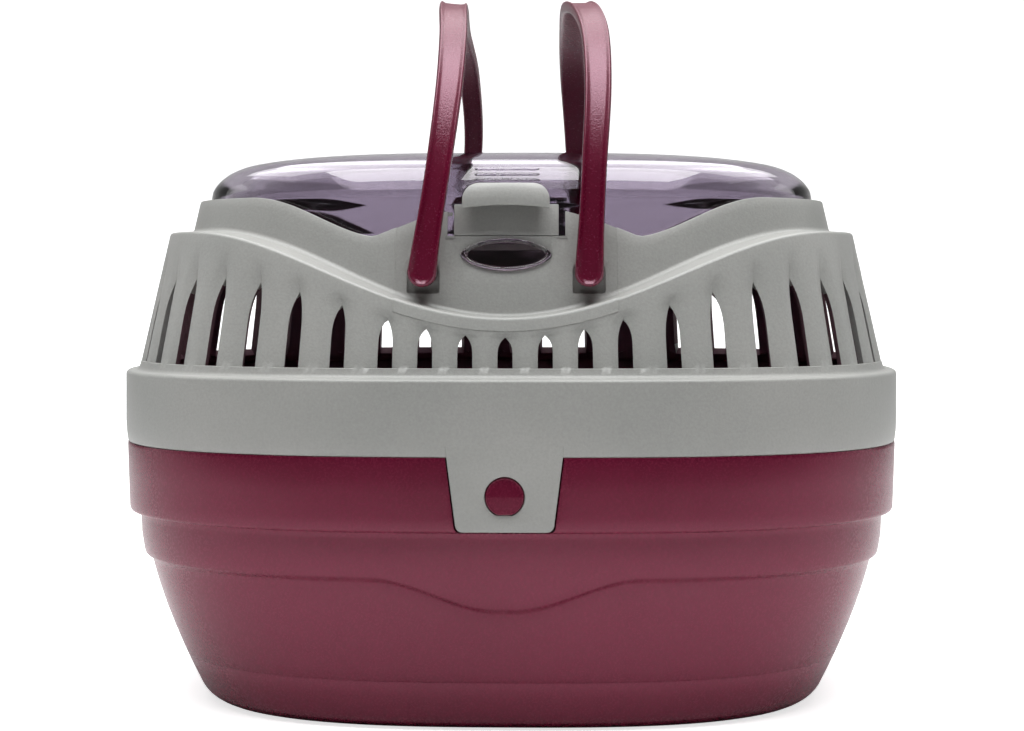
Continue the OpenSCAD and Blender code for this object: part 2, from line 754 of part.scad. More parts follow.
module handle_pin(side) {
    head_t = 1.4;
    color(burgundy) translate([side * handle_x, -pin_head_y, pivot_z]) rotate([90, 0, 0]) {
        translate([0, 0, -head_t]) cylinder(r = pin_r + 1.5, h = head_t, $fn = 48);
        cylinder(r = pin_r, h = strap_y + strap_t / 2 - 1.5 - pin_head_y, $fn = 48);
    }
}

module handle_pin_front_left() { handle_pin(-1); }
module handle_pin_front_right() { handle_pin(1); }
module handle_pin_rear_left() { rotate(180) handle_pin(1); }
module handle_pin_rear_right() { rotate(180) handle_pin(-1); }

// ---- Release buttons --------------------------------------------------
module release_button() {
    face = half_d - 1.3 + button_proud;
    back = tab_back - 1;
    color(burgundy) translate([0, 0, button_z]) rotate([90, 0, 0]) {
        translate([0, 0, back]) cylinder(r = button_r, h = face - back, $fn = 64);
        translate([0, 0, back - 1.4]) cylinder(r = button_r + button_flange, h = 1.4, $fn = 64);
        translate([0, 0, back - 2.4]) cylinder(r = button_r / 2, h = 1.1, $fn = 48);
    }
}

module release_button_front() { release_button(); }
module release_button_rear() { rotate(180) release_button(); }

base_tray();
upper_shell();
front_bracket();
rear_bracket();
lid_latch();
front_window();
clear_lid();
lid_hinge_pin_left();
lid_hinge_pin_right();
handle_left();
handle_right();
handle_pin_front_left();
handle_pin_front_right();
handle_pin_rear_left();
handle_pin_rear_right();
release_button_front();
release_button_rear();
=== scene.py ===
import math
import bmesh
import bpy
import numpy as np
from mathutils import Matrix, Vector


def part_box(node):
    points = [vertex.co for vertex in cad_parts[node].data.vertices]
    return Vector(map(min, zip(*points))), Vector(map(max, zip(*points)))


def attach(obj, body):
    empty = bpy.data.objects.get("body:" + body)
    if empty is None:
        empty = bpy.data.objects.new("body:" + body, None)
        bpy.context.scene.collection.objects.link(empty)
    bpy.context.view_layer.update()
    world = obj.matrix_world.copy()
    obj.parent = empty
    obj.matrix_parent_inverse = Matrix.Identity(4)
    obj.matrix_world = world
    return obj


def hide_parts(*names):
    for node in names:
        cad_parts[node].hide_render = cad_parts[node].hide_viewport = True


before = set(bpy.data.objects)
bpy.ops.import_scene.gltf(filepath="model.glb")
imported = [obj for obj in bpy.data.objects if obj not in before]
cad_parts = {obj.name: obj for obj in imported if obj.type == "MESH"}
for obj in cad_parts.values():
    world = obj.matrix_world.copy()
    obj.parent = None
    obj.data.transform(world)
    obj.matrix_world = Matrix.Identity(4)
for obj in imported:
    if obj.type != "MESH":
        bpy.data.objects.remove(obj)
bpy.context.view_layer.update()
mm = 0.001

carrier = {                 # sizes that the mouldings share, in mm
    "plan": 2.8,            # squareness of the plan outline, 2 is an ellipse
    "wall": 2.6,
    "bandOut": 5.5,         # how far both bands stand out past the walls
    "bandHigh": 27.0,       # grey band
    "skirtHigh": 52.4,      # band to ledge at the ends
    "lean": 12.5,           # degrees, walls above the band
    "ledgeWide": 8.5,
    "ledgeDip": 31.4,       # how much lower the ledge runs at the centre
    "ledgeDipHalf": 126.0,
    "collarHigh": 12.4,
    "collarDip": 14.7,      # V beside each bracket
    "collarDipX": 47.5,
    "collarSlope": 0.4,     # rise of the edge from the V towards the bracket
    "collarPower": 1.6,     # how full the edge's rise to the ends is
    "lidLip": 6.0,          # drop of the lid's rim at front and back
    "lidLipHalf": 60.0,     # half width of the rim's low part
    "lidLipRun": 40.0,      # length over which the rim climbs from there
    "lidRise": 0.8,         # rim over the ledge at the ends
    "lidGap": 1.4,          # between the lid and the collar
    "seatGap": 0.05,        # between the resting top and the tray
    "slotRise": 3.5,        # slot feet over the band
    "seam": 0.05,           # hairline joint beside a bracket
    "bracketHalf": 39.5,
    "fillet": 1.8,          # between the ledge and the wall above it
    "shelfGap": 0.3,        # between the lid's rim and the shelf that carries it
    "shelfThick": 2.2,
    "shelfWide": 5.3,
}


def nodeTop(name):  # highest corner of a CAD node in mm
    return np.array(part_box(name)[1]) / mm


halfWide, halfDeep = nodeTop("upper_shell")[:2]
trayTop = nodeTop("base_tray")[2] + carrier["seatGap"]
bandTop = trayTop + carrier["bandHigh"]
footZ = bandTop + carrier["slotRise"]
ledgeZ = bandTop + carrier["skirtHigh"]
ledgeMid = ledgeZ - carrier["ledgeDip"]
collarZ = ledgeZ + carrier["collarHigh"]
slope = math.tan(math.radians(carrier["lean"]))


# radius = ((|cos|/a)^n + (|sin|/b)^n)^(-1/n) in the direction of the angle
def planXY(angle, a, b):
    n = carrier["plan"]
    c, s = np.cos(angle), np.sin(angle)
    r = ((np.abs(c) / a) ** n + (np.abs(s) / b) ** n) ** (-1 / n)
    return r * c, r * s


# the same outline by x: y = b (1 - (|x|/a)^n)^(1/n)
def planDepth(x, a, b):
    n = carrier["plan"]
    return b * (1 - np.minimum(1, np.abs(x) / a) ** n) ** (1 / n)


# 3t^2 - 2t^3, held at 0 and 1
def ease(t):
    t = np.clip(t, 0, 1)
    return t * t * (3 - 2 * t)


def waveX(angle):  # the x by which the heights change round the outline
    return planXY(angle, halfWide - 2 * carrier["bandOut"], halfDeep - 2 * carrier["bandOut"])[0]


# height at the ends less the dip times cos^2, which reaches 0 at the dip's half width
def ledgeAt(x):
    u = np.minimum(1, np.abs(x) / carrier["ledgeDipHalf"])
    return ledgeZ - carrier["ledgeDip"] * np.cos(np.pi / 2 * u) ** 2


# straight lines down to a V beside the bracket, then a power of a sine up to the ends
def collarAt(x):
    dipX = carrier["collarDipX"]
    out = np.abs(x) - dipX
    rise = np.sin(np.pi / 2 * np.clip(out / dipX, 0, 1)) ** carrier["collarPower"]
    return collarZ - carrier["collarDip"] + np.where(out < 0, -carrier["collarSlope"] * out,
                                                        carrier["collarDip"] * rise)


def lidRimAt(x):  # level at the ends, eased down to a low part at front and back
    climb = ease((np.abs(x) - carrier["lidLipHalf"]) / carrier["lidLipRun"])
    return ledgeZ + carrier["lidRise"] - carrier["lidLip"] * (1 - climb)


# half width or half depth at a height: the leaning skirt, the collar behind the ledge, the upright band
def skirtHalf(half, z):
    return half - carrier["bandOut"] - (z - footZ) * slope


def collarHalf(half, z):
    return skirtHalf(half, z) - carrier["ledgeWide"]


def bandHalf(half, z):
    return half + 0 * z


def ledgeOn(angle):
    return ledgeAt(waveX(angle))


# the collar's edge goes by the true x of its point, which is found from its height in three steps
def collarOn(angle):
    z = np.full(len(angle), collarZ)
    for _ in range(3):
        z = collarAt(planXY(angle, collarHalf(halfWide, z), collarHalf(halfDeep, z))[0])
    return z


# a point of the outline at a height, inset from one of the three walls
def wallPoint(angle, z, half, inset):
    x, y = planXY(angle, half(halfWide, z) - inset, half(halfDeep, z) - inset)
    return np.column_stack([x, y, z + 0 * x])


# grid of points to quads; around joins the last column to the first, closed joins the last row to the first
def gridMesh(name, grid, around=False, closed=False, caps=False, keep=None, marks=None):
    rows, cols = grid.shape[:2]
    index = np.arange(rows * cols).reshape(rows, cols)
    if around:
        index = np.column_stack([index, index[:, :1]])
    if closed:
        index = np.vstack([index, index[:1]])
    quads = np.stack([index[:-1, :-1], index[:-1, 1:], index[1:, 1:], index[1:, :-1]], axis=-1)
    rowOf = np.broadcast_to(np.arange(quads.shape[0])[:, None], quads.shape[:2])
    if keep is not None:
        quads, rowOf = quads[keep], rowOf[keep]
    faces = quads.reshape(-1, 4).tolist()
    if caps:  # the first and last ring of a tube closed by one face each
        ends = (index[:-1, 0], index[:-1, -1]) if closed else (index[0, :cols], index[-1, :cols])
        faces += [end.tolist() for end in ends]
    mesh = bpy.data.meshes.new(name)
    mesh.from_pydata((grid.reshape(-1, 3) * mm).tolist(), [], faces)
    if marks:
        layer = mesh.attributes.new(marks, "INT", "FACE")
        layer.data.foreach_set("value", rowOf.ravel().astype(np.int32))
    mesh.update()
    return mesh


def weld(work):  # merges doubles and drops faces with no area
    bmesh.ops.remove_doubles(work, verts=work.verts, dist=0.004 * mm)
    bmesh.ops.dissolve_degenerate(work, edges=work.edges, dist=0.001 * mm)


def tidyMesh(mesh):  # welded, with all faces turned outwards
    work = bmesh.new()
    work.from_mesh(mesh)
    weld(work)
    bmesh.ops.recalc_face_normals(work, faces=work.faces)
    work.to_mesh(mesh)
    work.free()
    return mesh


def asObject(name, mesh):
    obj = bpy.data.objects.new(name, mesh)
    bpy.context.scene.collection.objects.link(obj)
    return obj


def solid(name, grid, **how):  # a closed form from its grid
    return asObject(name, tidyMesh(gridMesh(name, grid, **how)))


def bake(obj):  # applies the modifiers
    graph = bpy.context.evaluated_depsgraph_get()
    mesh = bpy.data.meshes.new_from_object(obj.evaluated_get(graph), depsgraph=graph)
    obj.modifiers.clear()
    obj.data = mesh
    return obj


def thicken(obj, wall):
    inner = obj.modifiers.new("wall", "SOLIDIFY")
    inner.thickness = wall * mm
    inner.offset = -1
    inner.use_even_offset = True
    return bake(obj)


def combine(obj, how, *others):
    for other in others:
        cut = obj.modifiers.new("cut", "BOOLEAN")
        cut.operation = how
        cut.solver = "EXACT"
        cut.object = other
        bake(obj)
        bpy.data.objects.remove(other)
    return obj


def addBevel(obj, width, steps, limit):
    edge = obj.modifiers.new("edge", "BEVEL")
    edge.width = width * mm
    edge.segments = steps
    edge.limit_method = limit
    return edge


def softenEdges(obj, width, steps, above):  # rounds the edges sharper than an angle in degrees
    addBevel(obj, width, steps, "ANGLE").angle_limit = math.radians(above)
    return bake(obj)


# rounds only the sharp edges whose middle, in mm, passes the test
def softenWhere(obj, width, test, above=40):
    work = bmesh.new()
    work.from_mesh(obj.data)
    weight = work.edges.layers.float.new("bevel_weight_edge")
    for edge in work.edges:
        if edge.is_manifold and edge.calc_face_angle() > math.radians(above):
            middle = (edge.verts[0].co + edge.verts[1].co) / 2 / mm
            edge[weight] = 1.0 if test(*middle) else 0.0
    work.to_mesh(obj.data)
    work.free()
    addBevel(obj, width, 2, "WEIGHT")
    return bake(obj)


def joinPieces(name, *objs):
    work = bmesh.new()
    for obj in objs:
        work.from_mesh(obj.data)
        bpy.data.objects.remove(obj)
    mesh = bpy.data.meshes.new(name)
    work.to_mesh(mesh)
    work.free()
    return asObject(name, mesh)


# moves all vertices by a rule that takes and gives their places in mm
def reshape(obj, rule):
    places = np.empty(len(obj.data.vertices) * 3, np.float32)
    obj.data.vertices.foreach_get("co", places)
    moved = rule(places.reshape(-1, 3).astype(float) / mm) * mm
    obj.data.vertices.foreach_set("co", moved.ravel().astype(np.float32))
    obj.data.update()
    return obj


# a second finish for the faces that a rule picks by their centre in mm and their normal
def finishSome(obj, material, rule):
    mesh = obj.data
    centre, normal = (np.empty(len(mesh.polygons) * 3, np.float32) for _ in range(2))
    mesh.polygons.foreach_get("center", centre)
    mesh.polygons.foreach_get("normal", normal)
    mesh.materials.append(material)
    picked = rule(centre.reshape(-1, 3) / mm, normal.reshape(-1, 3))
    mesh.polygons.foreach_set("material_index", picked.astype(np.int32))


# picks the inner faces that get the painted shade
def facesInwards(centre, normal):  # against the outward direction of an ellipse through the face
    out = centre[:, :2] / (halfWide ** 2, halfDeep ** 2)
    out /= np.linalg.norm(out, axis=1)[:, None]
    return (normal[:, :2] * out).sum(axis=1) < -0.3


def halfTurn(obj):  # a front form turned to the back, about the upright axis
    obj.data.transform(((-1, 0, 0, 0), (0, -1, 0, 0), (0, 0, 1, 0), (0, 0, 0, 1)))
    obj.data.update()
    return obj


# gives a piece its finish, its body and the CAD nodes that it stands for
def dress(obj, material, body, slotName, *nodes, sharp=35):
    obj.data.materials.clear()
    obj.data.materials.append(material)
    obj.data.shade_smooth()
    obj.data.set_sharp_from_angle(angle=math.radians(sharp))
    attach(obj, body)
    if nodes:
        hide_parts(*nodes)
    print(obj.name, "ready,", len(obj.data.polygons), "faces")
    return obj


# an XZ outline carried along Y from y0 to y1
def prism(name, outline, y0, y1):
    pts = np.array(outline, float)
    rings = [np.column_stack([pts[:, 0], np.full(len(pts), y), pts[:, 1]]) for y in (y0, y1)]
    return solid(name, np.stack(rings), around=True, caps=True)


# a YZ outline carried along X from x0 to x1
def crossPrism(name, outline, x0, x1):
    rings = [np.column_stack([np.full(len(outline), x), outline]) for x in (x0, x1)]
    return solid(name, np.stack(rings), around=True, caps=True)


def fullTurn(steps):
    return np.linspace(0, 2 * np.pi, steps, endpoint=False)


def arc(a, b, r, turn):  # points of a circle about a, b at the given angles
    return np.column_stack([a + r * np.cos(turn), b + r * np.sin(turn)])


# corners given as x, z, radius; each arc starts r / tan(half the corner) away from its corner
def roundedOutline(corners, steps=8):
    pts = []
    for i, (x, z, r) in enumerate(corners):
        here = np.array([x, z], float)
        if r == 0:
            pts.append(here[None])
            continue
        before = np.array(corners[i - 1][:2]) - here
        after = np.array(corners[(i + 1) % len(corners)][:2]) - here
        before, after = before / np.linalg.norm(before), after / np.linalg.norm(after)
        half = math.acos(np.clip(before @ after, -1, 1)) / 2
        middle = (before + after) / np.linalg.norm(before + after)
        centre = here + middle * r / math.sin(half)
        a, b = here + before * r / math.tan(half) - centre, here + after * r / math.tan(half) - centre
        turn = math.acos(np.clip(a @ b / (r * r), -1, 1))
        t = np.linspace(0, 1, steps)[:, None]
        pts.append(centre + (a * np.sin((1 - t) * turn) + b * np.sin(t * turn)) / math.sin(turn))
    return np.vstack(pts)


# Catmull-Rom: a cubic between each two points, with slopes from their neighbours
def smoothLine(points, each, ring=False):
    p = np.array(points, float)
    p = np.vstack([p[-1], p, p[:2]]) if ring else np.vstack([2 * p[0] - p[1], p, 2 * p[-1] - p[-2]])
    t = np.linspace(0, 1, each, endpoint=False)[None, :, None]
    a, b, c, d = p[:-3, None], p[1:-2, None], p[2:-1, None], p[3:, None]
    line = 0.5 * (2 * b + (c - a) * t + (2 * a - 5 * b + 4 * c - d) * t ** 2
                  + (3 * b - a - 3 * c + d) * t ** 3)
    line = line.reshape(-1, p.shape[1])
    return line if ring else np.vstack([line, p[-2]])


# sRGB hex to linear light: c / 12.92 below 0.04045, else ((c + 0.055) / 1.055)^2.4
def linear(code):
    c = np.array([int(code[i:i + 2], 16) / 255 for i in (1, 3, 5)])
    return (*np.where(c <= 0.04045, c / 12.92, ((c + 0.055) / 1.055) ** 2.4).tolist(), 1.0)


# adds a node, sets its sockets (by name or number) or properties, and links its inputs
def addNode(tree, kind, settings=None, links=None):
    made = tree.nodes.new(kind)
    for key, value in (settings or {}).items():
        if isinstance(key, int) or key in made.inputs:
            made.inputs[key].default_value = value
        else:
            setattr(made, key, value)
    for key, (source, output) in (links or {}).items():
        tree.links.new(source.outputs[output], made.inputs[key])
    return made


def newMaterial(name):
    material = bpy.data.materials.new(name)
    material.use_nodes = True
    material.node_tree.nodes.clear()
    return material, material.node_tree


glossSpread = 0.05  # how far the roughness swings with the grain


# spark-eroded moulding: a fine grain in bump and gloss, a slow drift of colour, a specular tint
# sizes in mm: grain, drift and relief
def mouldedPlastic(name, finish):
    material, tree = newMaterial(name)
    where = addNode(tree, "ShaderNodeTexCoord")
    grain = addNode(tree, "ShaderNodeTexNoise", {"Scale": 1 / (finish["grain"] * mm), "Detail": 3.0,
                                                 "Roughness": 0.6}, {"Vector": (where, "Object")})
    drift = addNode(tree, "ShaderNodeTexNoise", {"Scale": 1 / (finish["drift"] * mm), "Detail": 2.0},
                    {"Vector": (where, "Object")})
    blend = addNode(tree, "ShaderNodeMapRange", {"From Min": 0.3, "From Max": 0.7}, {"Value": (drift, "Fac")})
    base = addNode(tree, "ShaderNodeMix", {"data_type": "RGBA", 6: linear(finish["deep"]),
                                           7: linear(finish["light"])}, {0: (blend, "Result")})
    speck = addNode(tree, "ShaderNodeMix", {"data_type": "RGBA", "blend_type": "SOFT_LIGHT",
                                            0: finish["speckle"]}, {6: (base, 2), 7: (grain, "Fac")})
    gloss = addNode(tree, "ShaderNodeMapRange", {"To Min": finish["rough"] - glossSpread,
                                                 "To Max": finish["rough"] + glossSpread},
                    {"Value": (grain, "Fac")})
    bump = addNode(tree, "ShaderNodeBump", {"Strength": finish["bump"], "Distance": finish["relief"] * mm},
                   {"Height": (grain, "Fac")})
    shader = addNode(tree, "ShaderNodeBsdfPrincipled", {"IOR": 1.49, "Specular IOR Level": finish["shine"],
                                                         "Specular Tint": linear(finish["glint"])},
                     {"Base Color": (speck, 2), "Roughness": (gloss, "Result"), "Normal": (bump, "Normal")})
    addNode(tree, "ShaderNodeOutputMaterial", links={"Surface": (shader, "BSDF")})
    return material


# injection-moulded polystyrene: clear and glossy, with slow flow ripples and a faint violet tint
# sizes in mm: flow and relief
def clearPlastic(name, finish):
    material, tree = newMaterial(name)
    where = addNode(tree, "ShaderNodeTexCoord")
    flow = addNode(tree, "ShaderNodeTexNoise", {"Scale": 1 / (finish["flow"] * mm), "Detail": 1.0},
                   {"Vector": (where, "Object")})
    bump = addNode(tree, "ShaderNodeBump", {"Strength": finish["ripple"], "Distance": finish["relief"] * mm},
                   {"Height": (flow, "Fac")})
    gloss = addNode(tree, "ShaderNodeMapRange", {"To Min": finish["rough"],
                                                 "To Max": finish["rough"] + finish["haze"]},
                    {"Value": (flow, "Fac")})
    shader = addNode(tree, "ShaderNodeBsdfPrincipled",
                     {"Base Color": linear(finish["tint"]), "IOR": 1.58, "Transmission Weight": 1.0,
                      "Specular IOR Level": finish["shine"]},
                     {"Roughness": (gloss, "Result"), "Normal": (bump, "Normal")})
    addNode(tree, "ShaderNodeOutputMaterial", links={"Surface": (shader, "BSDF")})
    return material


greyPolypropylene = mouldedPlastic("greyPolypropylene", {
    "deep": "#9a9b98", "light": "#a4a4a1", "grain": 0.9, "drift": 60, "rough": 0.38, "bump": 0.5,
    "speckle": 0.25, "shine": 0.5, "glint": "#ffffff", "relief": 0.15})
paintedShadeInside = mouldedPlastic("greyPolypropylenePaintedShade", {  # the inner faces: painted shade, the grey plastic darkened and given a burgundy cast for the shade inside and the light bounced off the tray
    "deep": "#5e444b", "light": "#684c53", "grain": 1.1, "drift": 60, "rough": 0.5, "bump": 0.3,
    "speckle": 0.10, "shine": 0.25, "glint": "#ffffff", "relief": 0.12})
burgundyPolypropylene = mouldedPlastic("burgundyPolypropylene", {
    "deep": "#580b26", "light": "#620e2c", "grain": 0.9, "drift": 80, "rough": 0.27, "bump": 0.08,
    "speckle": 0.08, "shine": 1.0, "glint": "#ffb0c2", "relief": 0.1})
handlePlastic = mouldedPlastic("leatherGrainPolypropylene", {
    "deep": "#5a0926", "light": "#640c2b", "grain": 0.7, "drift": 30, "rough": 0.26, "bump": 0.6,
    "speckle": 0.35, "shine": 0.8, "glint": "#ffd8ea", "relief": 0.22})
clearPolystyrene = clearPlastic("clearPolystyrene", {
    "tint": "#b3abb8", "flow": 55, "ripple": 0.12, "relief": 0.3, "rough": 0.02, "haze": 0.03, "shine": 1.0})
paintedHighlightPolystyrene = clearPlastic("paintedHighlightPolystyrene", {  # the window's raised rim: the same clear plastic with a lighter tint, as a painted highlight
    "tint": "#e6e3e8", "flow": 30, "ripple": 0.05, "relief": 0.3, "rough": 0.02, "haze": 0.03, "shine": 1.0})
smokedPolystyrene = clearPlastic("smokedPolystyrene", {
    "tint": "#a08c96", "flow": 30, "ripple": 0.08, "relief": 0.3, "rough": 0.09, "haze": 0.03, "shine": 0.5})
print("materials ready")


slots = {
    "wide": 5.3,
    "shortPitch": 14.2,
    "shortEach": 3,         # short slots each side of centre
    "longStep": 17.4,       # from the last short slot to the first long one
    "longEach": 10,         # long slots from there to the middle of each end
    "drop": 6.8,            # wall left above a middle slot
    "dropEnds": 11.0,       # more of it towards the ends
    "dropFull": 0.8,        # share of the half width at which all of that is reached
    "straight": 0.4,        # share of the height before the arch starts
    "scoop": 2.0,           # how far the ribs roll in at a slot
    "scoopHalf": 3.9,
    "columns": 4,           # grid columns each side of a slot
}


# length along the skirt's foot against direction, starting at front centre
def skirtTable():
    angle = np.linspace(-np.pi / 2, 1.5 * np.pi, 12001)
    x, y = planXY(angle, skirtHalf(halfWide, footZ), skirtHalf(halfDeep, footZ))
    return np.concatenate([[0], np.cumsum(np.hypot(np.diff(x), np.diff(y)))]), angle


tableRun, tableAngle = skirtTable()


def slotRuns():
    quarter = tableRun[-1] / 4
    shortEnd = slots["shortEach"] * slots["shortPitch"]
    near = np.arange(slots["shortEach"] + 1) * slots["shortPitch"]
    far = np.linspace(shortEnd + slots["longStep"], quarter, slots["longEach"])
    one = np.concatenate([near, far])
    runs = np.concatenate([one, 2 * quarter - one, 2 * quarter + one, 4 * quarter - one])
    return np.unique(np.round(np.mod(runs, tableRun[-1]), 3))


# each slot has columns from the rib before it to its own edge, and from its other edge to the next rib
def skirtColumns():
    runs = slotRuns()
    ahead = (np.roll(runs, -1) - runs) % tableRun[-1] / 2
    behind = np.roll(ahead, 1)
    m = slots["columns"]
    way = np.linspace(0, 1, m + 1)
    way = 0.5 * way + 0.5 * ease(way)
    reach = np.column_stack([np.tile(-behind[:, None], m + 1), np.tile(ahead[:, None], m)])
    way = np.tile(np.concatenate([way, 1 - way[:m]]), (len(runs), 1))
    centre = np.tile(runs[:, None], 2 * m + 1)
    return centre.ravel(), reach.ravel(), way.ravel()


columnCentre, columnReach, columnWay = skirtColumns()


def slotTop(angle):
    side = np.minimum(1, np.abs(waveX(angle)) / (slots["dropFull"] * halfWide)) ** 2
    return ledgeOn(angle) - slots["drop"] - slots["dropEnds"] * side


# one row round the shell: columns slide to the slot's edge, and a bell curve presses the wall in there
# with the height they move away from the front and back centres, so the slots stand more upright
def skirtRow(height, half, inset=0.0, openHalf=0.0, scoop=0.0, narrow=1.0):
    def heightAt(angle):
        return height(angle) if callable(height) else np.full(len(angle), float(height))

    offset = columnReach * (1 - columnWay) + np.sign(columnReach) * openHalf * columnWay
    run, quarter = columnCentre + offset, tableRun[-1] / 4
    z = heightAt(np.interp(np.mod(run, tableRun[-1]), tableRun, tableAngle))
    away = np.mod(columnCentre + quarter, 2 * quarter) - quarter
    run = run + away * (1 - np.abs(away) / quarter) * np.maximum(0, z - footZ) * slope / halfWide
    angle = np.interp(np.mod(run, tableRun[-1]), tableRun, tableAngle)
    bell = scoop * np.exp(-(offset / (slots["scoopHalf"] * narrow)) ** 2)
    return wallPoint(angle, heightAt(angle), half, inset + bell)


shell = {
    # mm over the joint, inset
    "bandFoot": [[0, 1.25], [0.12, 0.95], [0.5, 0.68], [1.1, 0.55], [4, 0.2], [8, 0]],
    "bandRound": 1.4,       # radius of the band's top edge
    "skirtFoot": [[0.05, -1.3], [0.5, -0.55], [1.4, -0.12]],    # mm over the band, inset
    "beadDrop": 4.6,        # from the ledge down to the row where the brackets start
    "beadRound": 1.1,       # radius of the ledge's edge
    "collarRound": 0.6,
    "lip": [[1.5, 0], [-5.5, 0.1], [-6, 0.6], [-6, 2.2], [-5.5, 2.6], [1.5, 2.6]],  # mm over the joint, inset
    "lipGap": 0.5, "lipClear": 24.0,    # to the tray's wall, and half the width left free at the tabs
    "shelfClear": 46.0,
    "beforeTray": 0.6,      # inset of the tray's outer face under the band
}


# bead, ledge and fillet: a quarter circle, a flat and a quarter circle, as height over the ledge and inset
def ledgeProfile(proud=0.0):
    over, inner = np.linspace(0, np.pi / 2, 7), np.linspace(0.25, np.pi / 2, 5)
    bead, fillet = shell["beadRound"], carrier["fillet"]
    rows = [(-bead + (bead + proud) * math.sin(t), skirtHalf, -proud + bead * (1 - math.cos(t)))
            for t in over]
    rows += [(proud * (1 - t), skirtHalf, carrier["ledgeWide"] * t) for t in (0.4, 0.68)]
    rows += [(fillet * (1 - math.cos(t)), collarHalf, -fillet * (1 - math.sin(t))) for t in inner]
    return rows


def shellSheet():
    w, r = slots["wide"] / 2, shell["bandRound"]
    rows = [skirtRow(trayTop + up, bandHalf, inset, w) for up, inset in shell["bandFoot"]]
    for t in np.linspace(0, np.pi / 2, 5):
        rows.append(skirtRow(bandTop - r * (1 - math.sin(t)), bandHalf, r * (1 - math.cos(t)), w))
    rows += [skirtRow(bandTop + up, skirtHalf, inset, w) for up, inset in shell["skirtFoot"]]
    rows.append(skirtRow(footZ - 0.15, skirtHalf, 0, w))
    first = len(rows)
    for t in np.linspace(0, 1, 13):  # slot height
        q = max(0, (t - slots["straight"]) / (1 - slots["straight"]))
        rows.append(skirtRow(lambda a: footZ + (slotTop(a) - footZ) * t, skirtHalf, 0, w * (1 - q ** 3),
                             slots["scoop"] * (1 - 0.2 * t), 1 - 0.3 * t))
    last = len(rows) - 1
    for t in (0.15, 0.35, 0.55, 0.78, 1.0):  # the groove runs out above the slot
        rows.append(skirtRow(lambda a: slotTop(a) + (ledgeOn(a) - shell["beadDrop"] - slotTop(a)) * t,
                             skirtHalf, 0, 0, 0.8 * slots["scoop"] * (1 - float(ease(t))), 0.6 - 0.2 * t))
    beadRow = len(rows) - 1
    for drop, half, inset in ledgeProfile():
        rows.append(skirtRow(lambda a: ledgeOn(a) + drop, half, inset))
    for t in (0.3, 0.7, 1.0):
        rows.append(skirtRow(lambda a: ledgeOn(a) * (1 - t) + collarOn(a) * t + carrier["fillet"] * (1 - t),
                             collarHalf))
    grid = np.stack(rows)
    keep = np.ones((len(rows) - 1, grid.shape[1]), bool)
    keep[first:last, slots["columns"]::2 * slots["columns"] + 1] = False  # the slots themselves
    return gridMesh("shellTop", grid, around=True, keep=keep, marks="row"), beadRow


# splits the skin along both sides of the brackets and takes out what lies above the bead there
def openForBrackets(mesh, beadRow, halfGap):
    work = bmesh.new()
    work.from_mesh(mesh)
    weld(work)
    for side in (-1, 1):
        bmesh.ops.bisect_plane(work, geom=work.verts[:] + work.edges[:] + work.faces[:],
                               plane_co=(side * halfGap * mm, 0, 0), plane_no=(1, 0, 0))
    row = work.faces.layers.int["row"]
    gone = [f for f in work.faces if f[row] >= beadRow and abs(f.calc_center_median().x) < halfGap * mm]
    bmesh.ops.delete(work, geom=gone, context="FACES")
    work.to_mesh(mesh)
    work.free()
    return mesh


tab = {
    "topWide": 40.3, "footWide": 33.8, "high": 26.0, "corner": 2.6, "thick": 2.3,
    "into": 4.0,            # how far it reaches into the band above the joint
    "behind": 0.26,         # its face behind the band's
    "lean": 0.045,          # how far the face leans in for each mm down
    "round": 0.35,
    "gap": 0.5,             # to the tray all round
    "buttonDrop": 13.6, "buttonRadius": 6.6, "buttonGap": 0.35,
    "buttonFlat": 6.2,      # from the button's middle to its flat foot
}
buttonZ = trayTop - tab["buttonDrop"]


# the sides lean outwards from the foot to the joint line; a cut gives the part above a height
def tabOutline(gap, top, cut=None):
    wide, foot = tab["topWide"] / 2 + gap, tab["footWide"] / 2 + gap
    low, r = (trayTop - tab["high"] - gap, tab["corner"]) if cut is None else (cut, 0)
    lean = (wide - foot) / tab["high"]
    half = [foot + lean * max(0, z - trayTop + tab["high"]) for z in (low, top)]
    return roundedOutline([(-half[0], low, r), (half[0], low, r), (half[1], top, 0), (-half[1], top, 0)])


# circle cut off straight below
def buttonOutline(gap):
    outline = arc(0, 0, tab["buttonRadius"] + gap, fullTurn(72))
    outline[:, 1] = np.maximum(outline[:, 1], -tab["buttonFlat"] - gap * 0.4)
    return outline


# the face starts just inside the band above the joint and leans in towards the foot
def makeTab():
    top, face = trayTop + tab["into"], halfDeep - tab["behind"]
    piece = prism("tab", tabOutline(0, top), -face, -face + tab["thick"])
    hole = buttonOutline(tab["buttonGap"]) + (0, buttonZ)
    combine(piece, "DIFFERENCE", prism("hole", hole, -face - 5, -face + 9))
    softenEdges(piece, tab["round"], 3, 30)
    return reshape(piece, lambda p: p + np.outer(top - p[:, 2], (0, tab["lean"], 0)))


# a closed profile carried round both ends, with the middles of front and back left clear
def endArcs(name, profile, clear):
    arcs = []
    gap = math.atan2(clear, halfDeep)
    for middle in (0, np.pi):
        angle = np.linspace(middle - np.pi / 2 + gap, middle + np.pi / 2 - gap, 150)
        arcs.append(solid(name, np.stack([wallPoint(angle, z(waveX(angle)) if callable(z) else z, half, inset)
                                          for z, half, inset in profile]), closed=True, caps=True))
    return arcs


def shelfCorners():  # drop below the lid's rim, and inset from the collar's outer face
    top, foot = carrier["shelfGap"], carrier["shelfGap"] + carrier["shelfThick"]
    back = carrier["wall"] - 0.3
    return (top, back), (foot, back), (foot, back + carrier["shelfWide"]), (top, back + carrier["shelfWide"])


